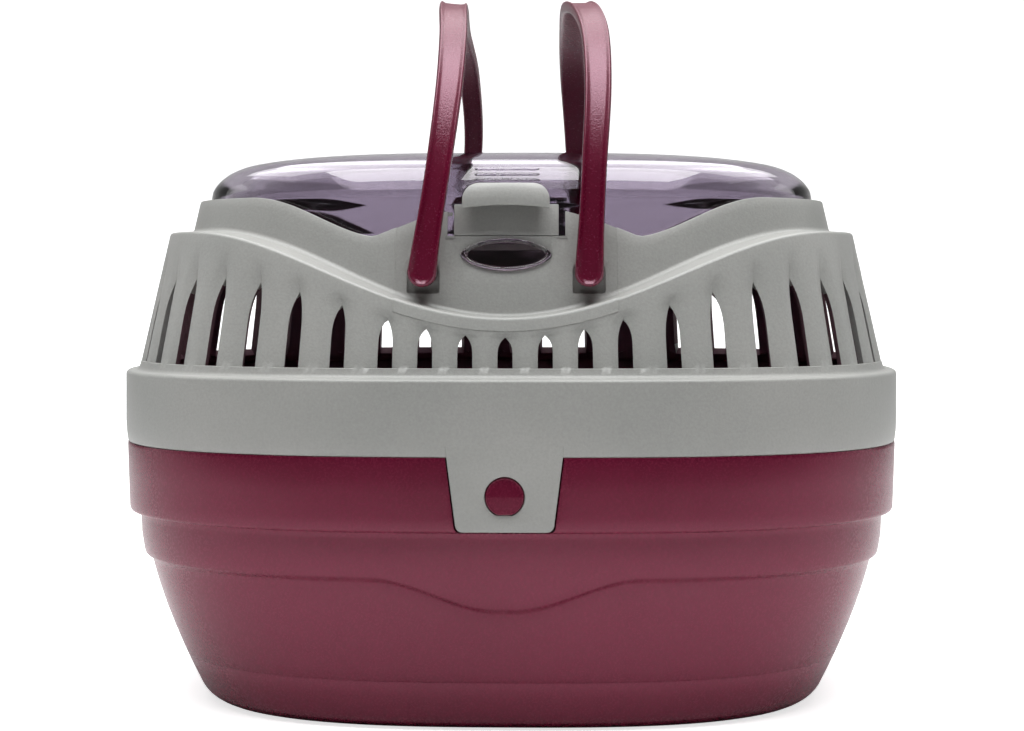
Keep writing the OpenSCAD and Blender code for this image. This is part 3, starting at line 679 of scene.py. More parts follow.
def makeShell():
    mesh, beadRow = shellSheet()
    openForBrackets(mesh, beadRow, carrier["bracketHalf"] + carrier["seam"])
    body = thicken(asObject("shellTop", mesh), carrier["wall"])
    softenWhere(body, shell["collarRound"],
                lambda x, y, z: z > ledgeAt(x) + 8 and abs(x) > carrier["bracketHalf"] + 0.3)
    lipIn = shell["beforeTray"] + carrier["wall"] + shell["lipGap"]
    lip = endArcs("lip", [(trayTop + up, bandHalf, lipIn + inset) for up, inset in shell["lip"]],
                  shell["lipClear"])
    shelf = endArcs("shelf", [(lambda x, drop=drop: lidRimAt(x) - drop, collarHalf, inset)
                              for drop, inset in shelfCorners()], shell["shelfClear"])
    return joinPieces("shellTop", body, makeTab(), halfTurn(makeTab()), *lip, *shelf)


# the inner faces get the painted shade in place of the grey
finishSome(dress(makeShell(), greyPolypropylene, "top", "grey_plastic", "upper_shell"),
           paintedShadeInside, facesInwards)


bracket = {
    "shoulderHigh": 40.4, "shoulderFall": 8.6,
    "beadProud": 0.3,
    "beadFoot": [[4.75, 0.4], [4.68, 0.0], [4.5, -0.24]],   # mm below the ledge, inset
    "round": 0.35,          # radius of its edges
    "tongueHalf": 18.7, "tongueSlot": 2.4, "tongueFoot": 29.0,
    "pivotX": 29.5, "pivotUp": 16.0,
    "pocketRadius": 5.85, "pocketDrop": 7.6, "pocketIn": 5.4, "pocketCorner": 1.2,
    "padThick": 3.2, "padRim": 1.6, "padFoot": 2.2,     # the wall behind a pocket and round it
    "barHigh": 1.3, "barDrop": 2.9,     # the small bar below the shoulder, left of the tongue
    "eyeWide": 32.4, "eyeHigh": 12.0, "eyeUp": 22.3, "eyeGap": 0.15,
    "barrelHalf": 17.5, "barrelRadius": 3.6, "barrelGap": 0.3, "earThick": 3.6,
    "hingeBack": 8.0, "hingeUp": 0.8,   # hinge axis behind the lid and over the shoulder
}
shoulderZ = ledgeMid + bracket["shoulderHigh"]
pivotZ = ledgeMid + bracket["pivotUp"]
tongueZ = ledgeMid + bracket["tongueFoot"]
pocketY = collarHalf(halfDeep, ledgeMid) - bracket["pocketIn"]
lidHalfWide = collarHalf(halfWide, collarZ) - carrier["wall"] - carrier["lidGap"]
lidHalfDeep = collarHalf(halfDeep, collarZ) - carrier["wall"] - carrier["lidGap"]
hingeY, hingeZ = lidHalfDeep + bracket["hingeBack"], shoulderZ + bracket["hingeUp"]


def shoulderAt(x):
    return shoulderZ - bracket["shoulderFall"] * (np.abs(x) / carrier["bracketHalf"]) ** 2


# v = h/2 (1 - |u|^1.9)^0.6 over a width from -1 to 1: fuller than a lens, with two soft points
def eyeOutline(w, h, steps=44):
    u = np.sin(np.linspace(-np.pi / 2, np.pi / 2, steps))
    v = h / 2 * np.maximum(0, 1 - np.abs(u) ** 1.9) ** 0.6
    u = u * w / 2
    return np.vstack([np.column_stack([u, -v]), np.column_stack([u[::-1], v[::-1]])[1:-1]])


# points (u across, v up the leaning wall, n out of it) to the window's place on the front bracket
def atWindow(u, v, n):
    lean = math.radians(carrier["lean"])
    z0 = ledgeMid + bracket["eyeUp"]
    y0 = -collarHalf(halfDeep, z0)
    return np.column_stack([u, y0 + v * math.sin(lean) - n * math.cos(lean),
                            z0 + v * math.cos(lean) + n * math.sin(lean)])


# a row of the shell's own wall, read at the bracket's x so that both meet at the joint
def rowAtX(x, height, half, inset):
    angle = np.linspace(-0.75 * np.pi, -0.25 * np.pi, 1501)
    p = wallPoint(angle, height(angle), half, inset)
    return np.column_stack([x, np.interp(x, p[:, 0], p[:, 1]), np.interp(x, p[:, 0], p[:, 2])])


def bracketSheet():
    x = np.linspace(-carrier["bracketHalf"], carrier["bracketHalf"], 65)
    rows = [rowAtX(x, lambda a: ledgeOn(a) - drop, skirtHalf, inset) for drop, inset in bracket["beadFoot"]]
    for drop, half, inset in ledgeProfile(bracket["beadProud"]):
        rows.append(rowAtX(x, lambda a: ledgeOn(a) + drop, half, inset))
    low, top = rows[-1][:, 2], shoulderAt(x)
    for t in (0.25, 0.5, 0.75, 1.0):
        z = low + (top - low) * t
        rows.append(np.column_stack([x, -planDepth(x, collarHalf(halfWide, z), collarHalf(halfDeep, z)), z]))
    return gridMesh("bracket", np.stack(rows))


def pocketPad(x):  # from a bar over the ledge to a disc behind the pivot
    r, foot = bracket["pocketRadius"] + bracket["padRim"], ledgeMid + bracket["padFoot"]
    outline = np.vstack([[[x + r, foot]], arc(x, pivotZ, r, np.linspace(0, np.pi, 25)), [[x - r, foot]]])
    pts = [np.column_stack([outline[:, 0], np.full(len(outline), -y), outline[:, 1]])
           for y in (pocketY - bracket["padThick"], pocketY + 0.1)]
    low = outline[:, 1] < pivotZ
    pts[1][low, 1] = -(collarHalf(halfDeep, ledgeMid) - 0.6)
    return solid("pad", np.stack(pts), around=True, caps=True)


def pocketCut(x):
    r, low, corner = bracket["pocketRadius"], pivotZ - bracket["pocketDrop"], bracket["pocketCorner"]
    foot = roundedOutline([(x - r, low, corner), (x + r, low, corner), (x + r, pivotZ, 0),
                           (x - r, pivotZ, 0)])
    arch = arc(x, pivotZ, r, np.linspace(0, np.pi, 33))
    return prism("pocket", np.vstack([foot[:-2], arch]), -pocketY - 12, -pocketY)


def bracketBody():
    body = thicken(asObject("bracket", bracketSheet()), carrier["wall"])
    for side in (-1, 1):
        x = side * bracket["pivotX"]
        combine(body, "UNION", pocketPad(x))
        combine(body, "DIFFERENCE", pocketCut(x))
    x = np.linspace(-carrier["bracketHalf"], carrier["bracketHalf"], 41)
    profile = []
    for drop, inset in shelfCorners():
        z = lidRimAt(x) - drop
        y = planDepth(x, collarHalf(halfWide, z) - inset, collarHalf(halfDeep, z) - inset)
        profile.append(np.column_stack([x, -y, z]))
    return body, solid("shelf", np.stack(profile), closed=True, caps=True)


def insideBracket(x, y, z):  # not the joints at its two sides, nor its foot
    hingeLine = abs(x) < bracket["tongueHalf"] and abs(z - tongueZ) < 0.2
    return abs(x) < carrier["bracketHalf"] - 0.4 and z > ledgeAt(x) + 1 and not hingeLine


def notchAbove(half, low):  # takes out the wall between two sides, from a height upwards
    outline = [(-half, low), (half, low), (half, low + 40), (-half, low + 40)]
    return prism("notch", outline, -halfDeep, -halfDeep + 50)


def smallBar(x0, x1, z0, z1, face, proud=0.0):  # a bar on the wall, with rounded corners
    outline = roundedOutline([(x0, z0, 0.3), (x1, z0, 0.3), (x1, z1, 0.3), (x0, z1, 0.3)], 4)
    return prism("bar", outline, -face - proud, -face + 2)


def makeFrontBracket():
    body, shelf = bracketBody()
    eye = eyeOutline(bracket["eyeWide"] + 2 * bracket["eyeGap"], bracket["eyeHigh"] + 2 * bracket["eyeGap"])
    hole = np.stack([atWindow(eye[:, 0], eye[:, 1], n) for n in (-9.0, 9.0)])
    combine(body, "DIFFERENCE", solid("hole", hole, around=True, caps=True))
    side = bracket["tongueHalf"] + bracket["tongueSlot"]
    combine(body, "DIFFERENCE", notchAbove(side, tongueZ))
    softenWhere(body, bracket["round"], insideBracket, above=45)
    bars = []  # the raised foot of each slot beside the tongue
    for s in (-1, 1):
        mid = s * (bracket["tongueHalf"] + bracket["tongueSlot"] / 2)
        bars.append(smallBar(mid - 1.9, mid + 1.9, tongueZ - 0.8, tongueZ + 0.05,
                             collarHalf(halfDeep, tongueZ), 0.25))
    top = shoulderZ - bracket["barDrop"]
    bars.append(smallBar(-side - 0.6, -side + 1.8, top - bracket["barHigh"], top,
                         collarHalf(halfDeep, shoulderZ)))
    return joinPieces("bracketFront", body, shelf, *bars)


# disc and foot joined by their tangents: outline in YZ, carried along X
def makeEar(x0):
    disc = arc(-hingeY, hingeZ, bracket["barrelRadius"], np.linspace(-0.35 * np.pi, 1.1 * np.pi, 30))
    face = -collarHalf(halfDeep, shoulderZ - 8)
    foot = [[face + 0.2, shoulderZ - 12.5], [face + 2.4, shoulderZ - 4]]
    ear = crossPrism("ear", np.vstack([disc, foot]), x0, x0 + bracket["earThick"])
    return softenEdges(ear, 0.4, 2, 45)


def makeRearBracket():
    body, shelf = bracketBody()
    side = bracket["barrelHalf"] + bracket["barrelGap"]
    combine(body, "DIFFERENCE", notchAbove(side, hingeZ - bracket["barrelRadius"] - 0.7))
    softenWhere(body, bracket["round"], insideBracket, above=45)
    ears = [makeEar(x) for x in (-side - bracket["earThick"], side)]
    return halfTurn(joinPieces("bracketRear", body, shelf, *ears))


# the inner faces get the painted shade in place of the grey
for made, node in ((makeFrontBracket(), "front_bracket"), (makeRearBracket(), "rear_bracket")):
    finishSome(dress(made, greyPolypropylene, "top", "grey_plastic", node), paintedShadeInside, facesInwards)


window = {                  # rings as width lost and height over the wall, in mm
    "rings": [[0, -2.6], [0, 0.5], [0.25, 0.85], [0.8, 1.1], [2.6, 1.1], [3.5, 0.8], [3.9, 0.3], [4.3, 0]],
    "squat": 0.72,          # height lost for each mm of width
    "highlightAbove": 0.35,       # height over the wall above which the rim gets the painted highlight
}


# closed rings of the eye, stepping over the raised rim and down to the pane
def makeWindow():
    rings = []
    for less, proud in window["rings"]:
        eye = eyeOutline(bracket["eyeWide"] - less, bracket["eyeHigh"] - less * window["squat"])
        rings.append(atWindow(eye[:, 0], eye[:, 1], proud))
    return solid("windowPane", np.stack(rings), around=True, caps=True)


# the rim faces that get the lighter tint as a painted highlight
def raisedRim(centre, normal):
    lean = math.radians(carrier["lean"])
    return (centre - atWindow(0, 0, 0)) @ (0, -math.cos(lean), math.sin(lean)) > window["highlightAbove"]


# the pane, with its raised rim lightened as a painted highlight
finishSome(dress(makeWindow(), smokedPolystyrene, "top", "clear_plastic", "front_window", sharp=60),
           paintedHighlightPolystyrene, raisedRim)


latch = {
    "gap": 0.08, "frontGap": 0.18,      # under the tongue's foot, and more of it at the outer corner
    "lipUp": 7.5, "lipOut": 8.0, "lipHalf": 15.5, "corner": 6.0,
    "arch": 1.1,            # how much higher the finger lip's edge runs at its middle
    "lidGap": 0.9,
}


# the tongue is the wall between the two slots; the finger lip is a smooth hood over its top
def makeLatch():
    low, lipTop = tongueZ + latch["gap"], shoulderZ + latch["lipUp"]
    foot, face = collarHalf(halfDeep, low), collarHalf(halfDeep, shoulderZ)
    wall, edge, back = carrier["wall"], face + latch["lipOut"], lidHalfDeep + latch["lidGap"]
    tongue = np.array([[-foot, low + latch["frontGap"]], [-face, shoulderZ], [-face + wall, shoulderZ],
                       [-foot + wall, low]])
    body = softenWhere(crossPrism("latch", tongue, -bracket["tongueHalf"], bracket["tongueHalf"]), 0.35,
                       lambda x, y, z: z > low + 0.5)
    outside = smoothLine([[-edge, shoulderZ - 1.5], [-edge + 0.2, shoulderZ + 1.4],
                          [-face - 6.9, lipTop - 3.3], [-face - 5.6, lipTop - 1.3],
                          [-face - 3.4, lipTop - 0.2], [-back - 1, lipTop]], 6)
    inside = smoothLine([[-back, lipTop - 1], [-back, shoulderZ - 3.6]], 2)
    under = smoothLine([[-face, shoulderZ - 3], [-face, lipTop - 5.4], [-face - 0.6, lipTop - 3.4],
                        [-face - 2.6, lipTop - 2.6], [-face - 4.8, lipTop - 3.9],
                        [-edge + 1.9, shoulderZ - 0.6], [-edge + 1.4, shoulderZ - 1.6]], 5)
    profile, half = np.vstack([outside, inside, under]), latch["lipHalf"]
    near = ease((-face - 2 - profile[:, 0]) / 4)  # only the hanging edge is arched
    rings = [np.column_stack([np.full(len(profile), x), profile[:, 0],
                              profile[:, 1] + latch["arch"] * near * (1 - (x / half) ** 2)])
             for x in np.linspace(-half, half, 33)]
    hood = solid("hood", np.stack(rings), around=True, caps=True)
    limit = roundedOutline([(-half, shoulderZ - 6, 0), (half, shoulderZ - 6, 0),
                            (half, lipTop, latch["corner"]), (-half, lipTop, latch["corner"])], 14)
    combine(hood, "INTERSECT", prism("limit", limit, -halfDeep - 5, -halfDeep + 60))
    softenEdges(hood, 0.45, 3, 50)
    return joinPieces("latch", body, hood)


dress(makeLatch(), greyPolypropylene, "latch", "grey_plastic", "lid_latch")


tray = {
    "bandHigh": 26.0, "endTaper": 24.0, "sideTaper": 14.0, "taperPower": 1.5,
    "taperEnd": 6.0,        # mm below the band at which the walls are upright
    "stepDepth": 2.2, "stepZ": 55.5, "stepDip": 11.0, "stepDipHalf": 46.0, "stepFlatHalf": 3.0,
    "footRadius": 6.0, "creaseZ": 18.2, "floor": 3.0, "tabPocket": 8.5,
    "floorRings": [75.0, 30.0, 11.0],   # insets of the rings across the floor
    "dips": [[22, 0.1], [29, 0.3], [36, 0.52], [44, 0.8], [50, 0.94]],  # height, share of the step's dip
    "bandFoot": [[-0.9, 5.4], [-0.7, 4.9], [-0.45, 3.4], [-0.2, 2.3], [0.1, 1.75], [0.6, 1.45], [1.2, 1.35],
                 [4.5, 1.25], [14, 0.9]],   # mm over the band's foot, inset
    "rim": [[-1.2, 0.6], [-0.5, 0.66], [-0.15, 0.85], [-0.05, 1.15]],   # mm over the rim, inset
}
bandFoot = trayTop - tray["bandHigh"]


def traySheet():
    angle = np.linspace(-np.pi, np.pi, 360, endpoint=False)
    away = (np.abs(waveX(angle)) - tray["stepFlatHalf"]) / (tray["stepDipHalf"] - tray["stepFlatHalf"])
    wave = 1 - ease(away)
    deep, stepZ, bend, wall = tray["stepDepth"], tray["stepZ"], tray["footRadius"], carrier["wall"]
    rows = []

    # half width less the taper times (1 - z / top)^power, with the step's wave in the height
    def row(z, dip, inset):
        z = z - dip * tray["stepDip"] * wave
        low = np.maximum(0, 1 - z / (bandFoot - tray["taperEnd"])) ** tray["taperPower"]
        px, py = planXY(angle, halfWide - carrier["bandOut"] - tray["endTaper"] * low - inset,
                        halfDeep - carrier["bandOut"] - tray["sideTaper"] * low - inset)
        rows.append(np.column_stack([px, py, z]))

    def bandRow(z, inset):
        rows.append(wallPoint(angle, z, bandHalf, inset))

    for inset in tray["floorRings"]:
        row(0.0, 0, deep + inset)
    for t in np.linspace(0, np.pi / 2, 8):  # the rounded foot
        row(bend * (1 - math.cos(t)), 0, deep + bend * (1 - math.sin(t)))
    for z, inset in ((12, 0), (tray["creaseZ"] - 0.5, 0), (tray["creaseZ"], 0.22),
                     (tray["creaseZ"] + 0.5, 0)):
        row(z, 0, deep + inset)
    for z, dip in tray["dips"]:
        row(z, dip, deep)
    for t in np.linspace(0, 1, 7):  # the step, as a smooth S
        row(stepZ - 1.6 + 2.9 * t, 1, deep * (1 - float(ease(t))))
    for z, dip in ((stepZ + 3.2, 0.9), (64, 0.45), (bandFoot - 3.2, 0)):
        row(z, dip, 0)
    for up, inset in tray["bandFoot"]:
        bandRow(bandFoot + up, inset)
    for up, inset in tray["rim"]:
        bandRow(trayTop + up, inset)
    # from here down the inner face
    for z, inset in ((trayTop - 0.05, 0.8), (trayTop - 0.5, 0.6), (bandFoot + 14, 0.9),
                     (bandFoot + 3.4, 1.4)):
        bandRow(z, wall + inset)
    for z, dip, inset in ((bandFoot + 0.6, 0, 0.6), (64, 0.45, 0), (stepZ + 3.2, 0.9, 0),
                          (stepZ - 1.4, 1, deep)):
        row(z, dip, wall + inset)
    for z, dip in tray["dips"][-2::-1] + [[12, 0]]:
        row(z, dip, wall + deep)
    for t in np.linspace(np.pi / 2, 0, 5):
        row(tray["floor"] + (bend - wall) * (1 - math.cos(t)), 0,
            deep + wall + (bend - wall) * (1 - math.sin(t)))
    for inset in tray["floorRings"][::-1]:
        row(tray["floor"], 0, deep + inset)
    return gridMesh("tray", np.stack(rows), around=True, caps=True)


# a housing in the band behind each tab, a cheek that carries it down, and the hollow that the tab drops into
def makeTray():
    body = asObject("tray", tidyMesh(traySheet()))
    pocket, gap, cast = -halfDeep + tray["tabPocket"], tab["gap"], tab["gap"] + carrier["wall"]
    back = pocket + carrier["wall"] + 0.9
    for turned in (False, True):
        house = prism("house", tabOutline(cast, trayTop - 0.4), -halfDeep + carrier["bandOut"] + 0.7, back)
        cheek = prism("cheek", tabOutline(cast - 0.15, trayTop - 0.55, bandFoot + 1.9), -halfDeep + 1.8, back)
        hollow = prism("hollow", tabOutline(gap, trayTop + 2), -halfDeep - 2, pocket)
        for how, form in (("UNION", house), ("UNION", cheek), ("DIFFERENCE", hollow)):
            combine(body, how, halfTurn(form) if turned else form)
    return softenEdges(body, 0.35, 2, 50)


dress(makeTray(), burgundyPolypropylene, "tray", "burgundy_plastic", "base_tray")


lid = {
    "wall": 2.2, "top": ledgeZ + 31.2, "knuckle": 10.0, "arm": 3.0,
    "ribs": 3, "ribWide": 24.0, "ribDrop": 9.2, "ribPitch": 2.0, "ribIn": 0.4, "ribOut": 0.9, "ribHigh": 0.55,
    "drops": [17.4, 14.8, 12.4, 10.0, 7.6, 5.2, 3.2, 1.6, 0.4],     # the crown's line, mm below its top
    "insets": [0.1, 0.7, 2.2, 4.6, 8.2, 14.5, 26.0, 42.0, 66.0],    # and mm in from the lid's side
}


# rings of the plan outline climb a smooth line through the drops and insets; the depth shrinks in step
def lidRings(thin):
    angle = np.linspace(-np.pi, np.pi, 288, endpoint=False)
    share = lidHalfDeep / lidHalfWide
    line = smoothLine(np.column_stack([lid["drops"], lid["insets"]]), 4)
    rim = lidRimAt(waveX(angle))
    rings = []
    for t in np.linspace(0, 0.85, 5):
        x, y = planXY(angle, lidHalfWide - thin, lidHalfDeep - thin)
        rings.append(np.column_stack([x, y, rim + (lid["top"] - lid["drops"][0] - thin - rim) * t]))
    for drop, inset in line:
        x, y = planXY(angle, lidHalfWide - inset - thin, lidHalfDeep - (inset + thin) * share)
        rings.append(np.column_stack([x, y, np.full(len(x), lid["top"] - drop - thin)]))
    return rings


def makeHinge(x0):  # a knuckle round the axis, and the arm that joins it to the dome
    x1, r, top = x0 + lid["knuckle"], bracket["barrelRadius"], hingeZ + bracket["barrelRadius"]
    knuckle = crossPrism("knuckle", arc(hingeY, hingeZ, r, fullTurn(40)), x0, x1)
    y0, low = lidHalfDeep - 0.7, top - lid["arm"]
    web = [[y0, low], [hingeY, low], [hingeY, top - 0.02], [y0, top - 0.02]]
    return [softenEdges(piece, 0.4, 2, 45) for piece in (knuckle, crossPrism("arm", web, x0 + 0.3, x1 - 0.3))]


# an oval carried along X on the dome's front slope, drawn in at both ends by the root of 1 - |x|^24
def makeRib(drop):
    half = lid["ribWide"] / 2
    inset = np.interp(drop, lid["drops"][::-1], lid["insets"][::-1]) * lidHalfDeep / lidHalfWide
    turn, x = fullTurn(14), np.linspace(-half, half, 31)
    size = np.sqrt(np.maximum(0.02, 1 - (np.abs(x) / (half + 0.05)) ** 24))
    rings = [np.column_stack([np.full(14, a),
                              inset - lidHalfDeep + lid["ribIn"] + lid["ribOut"] * k * np.cos(turn),
                              lid["top"] - drop + lid["ribHigh"] * k * np.sin(turn)])
             for a, k in zip(x, size)]
    return solid("rib", np.stack(rings), around=True, caps=True)


def makeLid():
    rings = lidRings(lid["wall"])[::-1] + lidRings(0.0)
    pieces = [softenEdges(solid("lid", np.stack(rings), around=True, caps=True), 0.3, 2, 50)]
    for x0 in (-bracket["barrelHalf"], bracket["barrelHalf"] - lid["knuckle"]):
        pieces += makeHinge(x0)
    for i in range(lid["ribs"]):
        pieces.append(makeRib(lid["ribDrop"] + lid["ribPitch"] * i))
    return joinPieces("lidDome", *pieces)


dress(makeLid(), clearPolystyrene, "lid", "clear_plastic", "clear_lid", sharp=40)


handle = {
    "spring": collarHalf(halfDeep, ledgeMid) + 0.3 * carrier["ledgeWide"],  # the strap's middle at the pivots
    "wide": 10.3, "thick": 4.5, "power": 2.3, "rim": 1.25,
    "leans": {"left": 5.5, "right": 0.5},   # degrees inwards at rest
    "widths": [[-6, 1.0], [0, 1.0], [24, 0.87], [55, 0.92], [85, 1.0], [112, 1.1]],     # by height
    "rearWidth": {"left": 0.86, "right": 1.14},
    "channels": [[-6, 1.35], [4, 1.35], [14, 2.1], [28, 2.2], [48, 1.4], [75, 0.75], [112, 0.75]],
    "hollow": [[0.85, 1.3, 1.9, 2.8, 5.15], [0, 0.3, 0.75, 0.95, 1.0]],     # mm from the border, share
    # how far the real straps bow sideways in mm, from the front pivot at 0 to the rear one at 1
    "bows": {
        "left": [[0, 0], [0.1, 1.9], [0.2, 2.2], [0.3, 0.7], [0.4, -2.0], [0.5, -3.6], [0.6, -3.7],
                 [0.7, 0.8], [0.8, 4.2], [0.86, 4.8], [0.92, 3.4], [1, 0]],
        "right": [[0, 0], [0.1, 2.2], [0.2, 4.0], [0.3, 3.6], [0.38, 1.1], [0.44, -1.6], [0.5, -3.6],
                  [0.6, -4.0], [0.7, -3.6], [0.8, -2.3], [0.9, -1.0], [1, 0]]},
    "boss": [[0.3, 0.5], [0.5, 0.15], [0.9, 0]],    # mm out of the pocket, loss of radius
}
uprightReach = (nodeTop("handle_right")[2] - pivotZ) / math.cos(math.radians(handle["leans"]["right"]))
handle["reach"] = uprightReach - handle["thick"] / 2 - 0.05


# across the strap: rounded borders, a face that takes the channel, then the plain inner face
def strapSection():
    half, t = handle["wide"] / 2, handle["thick"] / 2
    outer = [[-half, -0.2 * t], [-half + 0.05, 0.45 * t], [-half + 0.35, 0.85 * t]]
    outer += [[-half + step, t] for step in (0.75, 1.3, 1.9, 2.8, 4.2)]
    inner = [[1.6, -t], [3.4, -t], [half - 0.9, -0.96 * t], [half - 0.25, -0.75 * t]]
    mirrored = [[-a, b] for a, b in outer[::-1]]
    return smoothLine(outer + mirrored + inner[::-1] + [[-a, b] for a, b in inner], 3, ring=True)


def readTable(table, where):  # a smooth line through the table
    line = smoothLine(table, 12)
    return np.interp(where, line[:, 0], line[:, 1])


# middle line: y = v cos^(2/n), z = u sin^(2/n); below the pivots it runs straight down, and the strap's width
# follows a circle there
def makeStrap(side):
    v, u, n = handle["spring"], handle["reach"], handle["power"]
    half, t = handle["wide"] / 2, handle["thick"] / 2
    turn = np.linspace(0, np.pi, 131)
    c, s = np.cos(turn), np.sin(turn)
    arch = np.column_stack([np.sign(c) * v * np.abs(c) ** (2 / n), u * np.abs(s) ** (2 / n)])
    down = half * np.sin(np.linspace(np.pi / 2 * 0.995, np.pi / 14, 9))
    line = np.vstack([np.column_stack([np.full(9, v), -down]), arch,
                      np.column_stack([np.full(9, -v), -down[::-1]])])
    # 0 at the front pivot, 1 at the rear one
    share = np.concatenate([np.ones(9), 1 - turn / np.pi, np.zeros(9)])
    bow = readTable(handle["bows"][side], share)
    taper = np.sqrt(np.clip(1 - (np.minimum(0, line[:, 1]) / half) ** 2, 0.0004, 1))
    rear = 1 + (handle["rearWidth"][side] - 1) * ease((share - 0.55) / 0.2) * ease((line[:, 1] - 5) / 20)
    width = (taper * rear * readTable(handle["widths"], line[:, 1]))[:, None]
    along = np.gradient(line, axis=0)
    along /= np.linalg.norm(along, axis=1)[:, None]
    out = np.column_stack([along[:, 1], -along[:, 0]])
    section, high = strapSection()[None], line[:, 1:]
    across = section[:, :, 0] * width
    # mm from the strap's edge
    border = np.where(high < 0, half - np.hypot(across, high), half * width - np.abs(across))
    deep = readTable(handle["channels"], line[:, 1])[:, None] * np.interp(border, *handle["hollow"])
    rise = section[:, :, 1] - np.where(section[:, :, 1] > 0.9 * t, deep, 0)
    end = t * (0.35 + 0.65 * np.sqrt(np.clip(border / handle["rim"], 0, 1)))  # the foot's rounded border
    rise = np.where((rise > 0) & (high < 0), np.minimum(rise, end), rise)
    grid = np.stack([across + bow[:, None], line[:, :1] + out[:, :1] * rise, high + out[:, 1:] * rise],
                    axis=-1)
    return solid("strap", grid, around=True, caps=True)


# the round boss that fills the bracket's pocket, at the rear for 1 and at the front for -1
def makeBoss(end):
    rings, foot = [], handle["wide"] / 2
    for depth, less in [[pocketY + out, less] for out, less in handle["boss"]] + [[handle["spring"], 0.3]]:
        disc = arc(0, 0, foot - less, fullTurn(48))
        rings.append(np.column_stack([disc[:, 0], np.full(48, end * depth), disc[:, 1]]))
    return solid("boss", np.stack(rings), around=True, caps=True)


def makeHandle(side):
    whole = joinPieces("handle" + side.capitalize(), makeStrap(side), makeBoss(-1), makeBoss(1))
    sign = 1 if side == "left" else -1
    tilt = math.radians(handle["leans"][side]) * sign

    def lean(p):  # turns it about its pivots and puts it in place
        x, z = p[:, 0], p[:, 2]
        return np.column_stack([x * math.cos(tilt) + z * math.sin(tilt) - sign * bracket["pivotX"], p[:, 1],
                                pivotZ - x * math.sin(tilt) + z * math.cos(tilt)])

    return reshape(whole, lean)


for side in ("left", "right"):
    dress(makeHandle(side), handlePlastic, side + "_handle", "burgundy_satin", "handle_" + side, sharp=50)


button = {
    "back": 1.2,            # its flange behind the band's wall
    "faceIn": 0.55,         # its face behind the band's face
    "stem": [[2.4, 3.3], [1.4, 3.3], [1.4, 8.2], [0, 8.2], [0, 6.6]],      # mm behind its flange, radius
    "face": [[1.0, 0.75], [1.0, 0.3], [0.985, 0.08], [0.955, 0.0], [0.93, 0.06], [0.92, 0.16], [0.75, 0.16],
             [0.5, 0.16], [0.25, 0.16], [0.05, 0.16]],      # share of the radius, mm behind the face
    "slopes": [0.11, 0.02],     # the upper half falls back, the lower half stays nearly upright
}


# turned steps behind, then a face in two slopes that meet in a crease across its middle
def makeButton(name):
    back, face = halfDeep - carrier["wall"] - button["back"], halfDeep - button["faceIn"]
    outline = buttonOutline(0)
    rings = []
    for behind, r in button["stem"]:
        x, z = outline.T * r / tab["buttonRadius"]
        rings.append(np.column_stack([x, np.full(len(x), behind - back), z]))
    for scale, drop in button["face"]:
        x, z = outline.T * scale
        upper, lower = button["slopes"]
        crease = upper * np.maximum(0, z) + lower * np.maximum(0, -z)
        rings.append(np.column_stack([x, crease + drop - face, z]))
    return solid(name, np.stack(rings) + (0, 0, buttonZ), around=True, caps=True)


dress(makeButton("buttonFront"), burgundyPolypropylene, "front_button", "burgundy_plastic",
      "release_button_front", sharp=30)
dress(halfTurn(makeButton("buttonRear")), burgundyPolypropylene, "rear_button", "burgundy_plastic",
      "release_button_rear", sharp=30)


def dressNode(name, material):  # a CAD piece keeps its mesh and gets a finish
    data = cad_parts[name].data
    data.materials.clear()
    data.materials.append(material)


for side in ("left", "right"):
    dressNode("lid_hinge_pin_" + side, greyPolypropylene)
    for end in ("front", "rear"):
        dressNode("handle_pin_" + end + "_" + side, burgundyPolypropylene)
print("pins dressed")


studio = {                  # sizes in mm
    "paper": "#f0f0f0", "white": "#ffffff",
    "lift": 0.7,            # how much white the camera sees over the lit paper
    "front": 0.06, "behind": 0.85,      # strength of the world's light in front of the object and behind it
    "halfWide": 3500.0, "paperFrom": -500.0, "bendFrom": 1200.0, "bend": 900.0, "high": 3000.0,
    "distance": 800.0, "azimuth": 1.3, "eye": 161.0, "lens": 69.9, "shift": -0.0854,
}


# a sheet that runs from the floor up into a backdrop through a quarter circle
def makeBackdrop():
    turn, bend = np.linspace(0, np.pi / 2, 12), studio["bend"]
    start, end = studio["paperFrom"], studio["bendFrom"]
    y = np.concatenate([[start], end + bend * np.sin(turn), [end + bend]])
    z = np.concatenate([[0], bend * (1 - np.cos(turn)), [studio["high"]]])
    x = np.linspace(-studio["halfWide"], studio["halfWide"], 3)
    grid = np.stack([np.column_stack([x, np.full(3, a), np.full(3, b)]) for a, b in zip(y, z)])
    sheet = asObject("backdrop", gridMesh("backdrop", grid))
    sheet.data.shade_smooth()
    material, tree = newMaterial("studioPaper")
    # lit paper; the camera sees it, also through clear plastic, lifted to white outside the shadow
    ray = addNode(tree, "ShaderNodeLightPath")
    paper = addNode(tree, "ShaderNodeBsdfDiffuse", {"Color": linear(studio["paper"])})
    lift = addNode(tree, "ShaderNodeEmission", {"Color": linear(studio["white"]), "Strength": studio["lift"]})
    lifted = addNode(tree, "ShaderNodeAddShader", links={0: (paper, "BSDF"), 1: (lift, "Emission")})
    seen = addNode(tree, "ShaderNodeMath", {"operation": "MAXIMUM"},
                   {0: (ray, "Is Camera Ray"), 1: (ray, "Is Transmission Ray")})
    mix = addNode(tree, "ShaderNodeMixShader",
                  links={0: (seen, 0), 1: (paper, "BSDF"), 2: (lifted, "Shader")})
    addNode(tree, "ShaderNodeOutputMaterial", links={"Surface": (mix, "Shader")})
    sheet.data.materials.append(material)


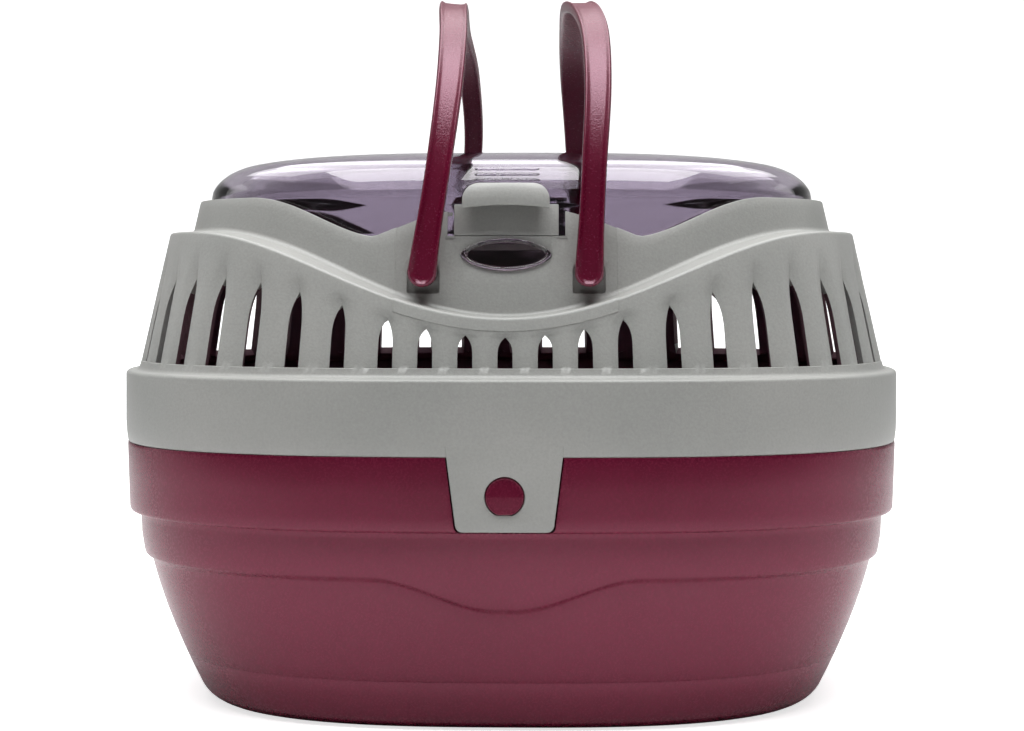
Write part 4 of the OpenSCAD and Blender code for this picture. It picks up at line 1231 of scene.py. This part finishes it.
def addLamp(name, place, target, size, watts):  # a softbox, in metres
    data = bpy.data.lights.new(name, "AREA")
    data.shape = "RECTANGLE"
    data.size, data.size_y = size
    data.energy = watts
    lamp = bpy.data.objects.new(name, data)
    lamp.location = place
    lamp.rotation_euler = (Vector(target) - Vector(place)).to_track_quat("-Z", "Y").to_euler()
    bpy.context.scene.collection.objects.link(lamp)


def addCamera():
    data = bpy.data.cameras.new("camera")
    data.sensor_width = 36
    data.lens = studio["lens"]
    data.clip_end = 20
    camera = bpy.data.objects.new("camera", data)
    turn = math.radians(studio["azimuth"])
    place = Vector((math.sin(turn), -math.cos(turn), 0)) * studio["distance"] * mm
    place.z = studio["eye"] * mm
    data.shift_y = studio["shift"]  # the horizon lies above the middle, and upright lines stay upright
    camera.location = place
    camera.rotation_euler = (math.pi / 2, 0, turn)
    bpy.context.scene.collection.objects.link(camera)
    bpy.context.scene.camera = camera


# a studio that is white behind the object and dim in front of it; the camera sees white all round
def lightWorld():
    world = bpy.data.worlds.new("studio")
    world.use_nodes = True
    tree = world.node_tree
    tree.nodes.clear()
    where = addNode(tree, "ShaderNodeTexCoord")
    way = addNode(tree, "ShaderNodeSeparateXYZ", links={0: (where, "Generated")})
    level = addNode(tree, "ShaderNodeMapRange", {"From Min": -0.4, "From Max": 0.4, "To Min": studio["front"],
                                                 "To Max": studio["behind"]}, {"Value": (way, "Y")})
    ray = addNode(tree, "ShaderNodeLightPath")
    seen = addNode(tree, "ShaderNodeMath", {"operation": "MAXIMUM"},
                   {0: (level, "Result"), 1: (ray, "Is Camera Ray")})
    sky = addNode(tree, "ShaderNodeBackground", {"Color": (1, 1, 1, 1)}, {"Strength": (seen, 0)})
    addNode(tree, "ShaderNodeOutputWorld", links={"Surface": (sky, "Background")})
    bpy.context.scene.world = world


makeBackdrop()
addLamp("keySoftbox", place=(0, -0.3, 1.25), target=(0, 0, 0.15), size=(1.1, 0.9), watts=20)
addLamp("ceilingSoftbox", place=(0, 0.7, 1.4), target=(0, 0.2, 0), size=(2.0, 1.1), watts=16)
addCamera()
lightWorld()
bpy.context.scene.view_settings.view_transform = "Standard"
print("studio ready")
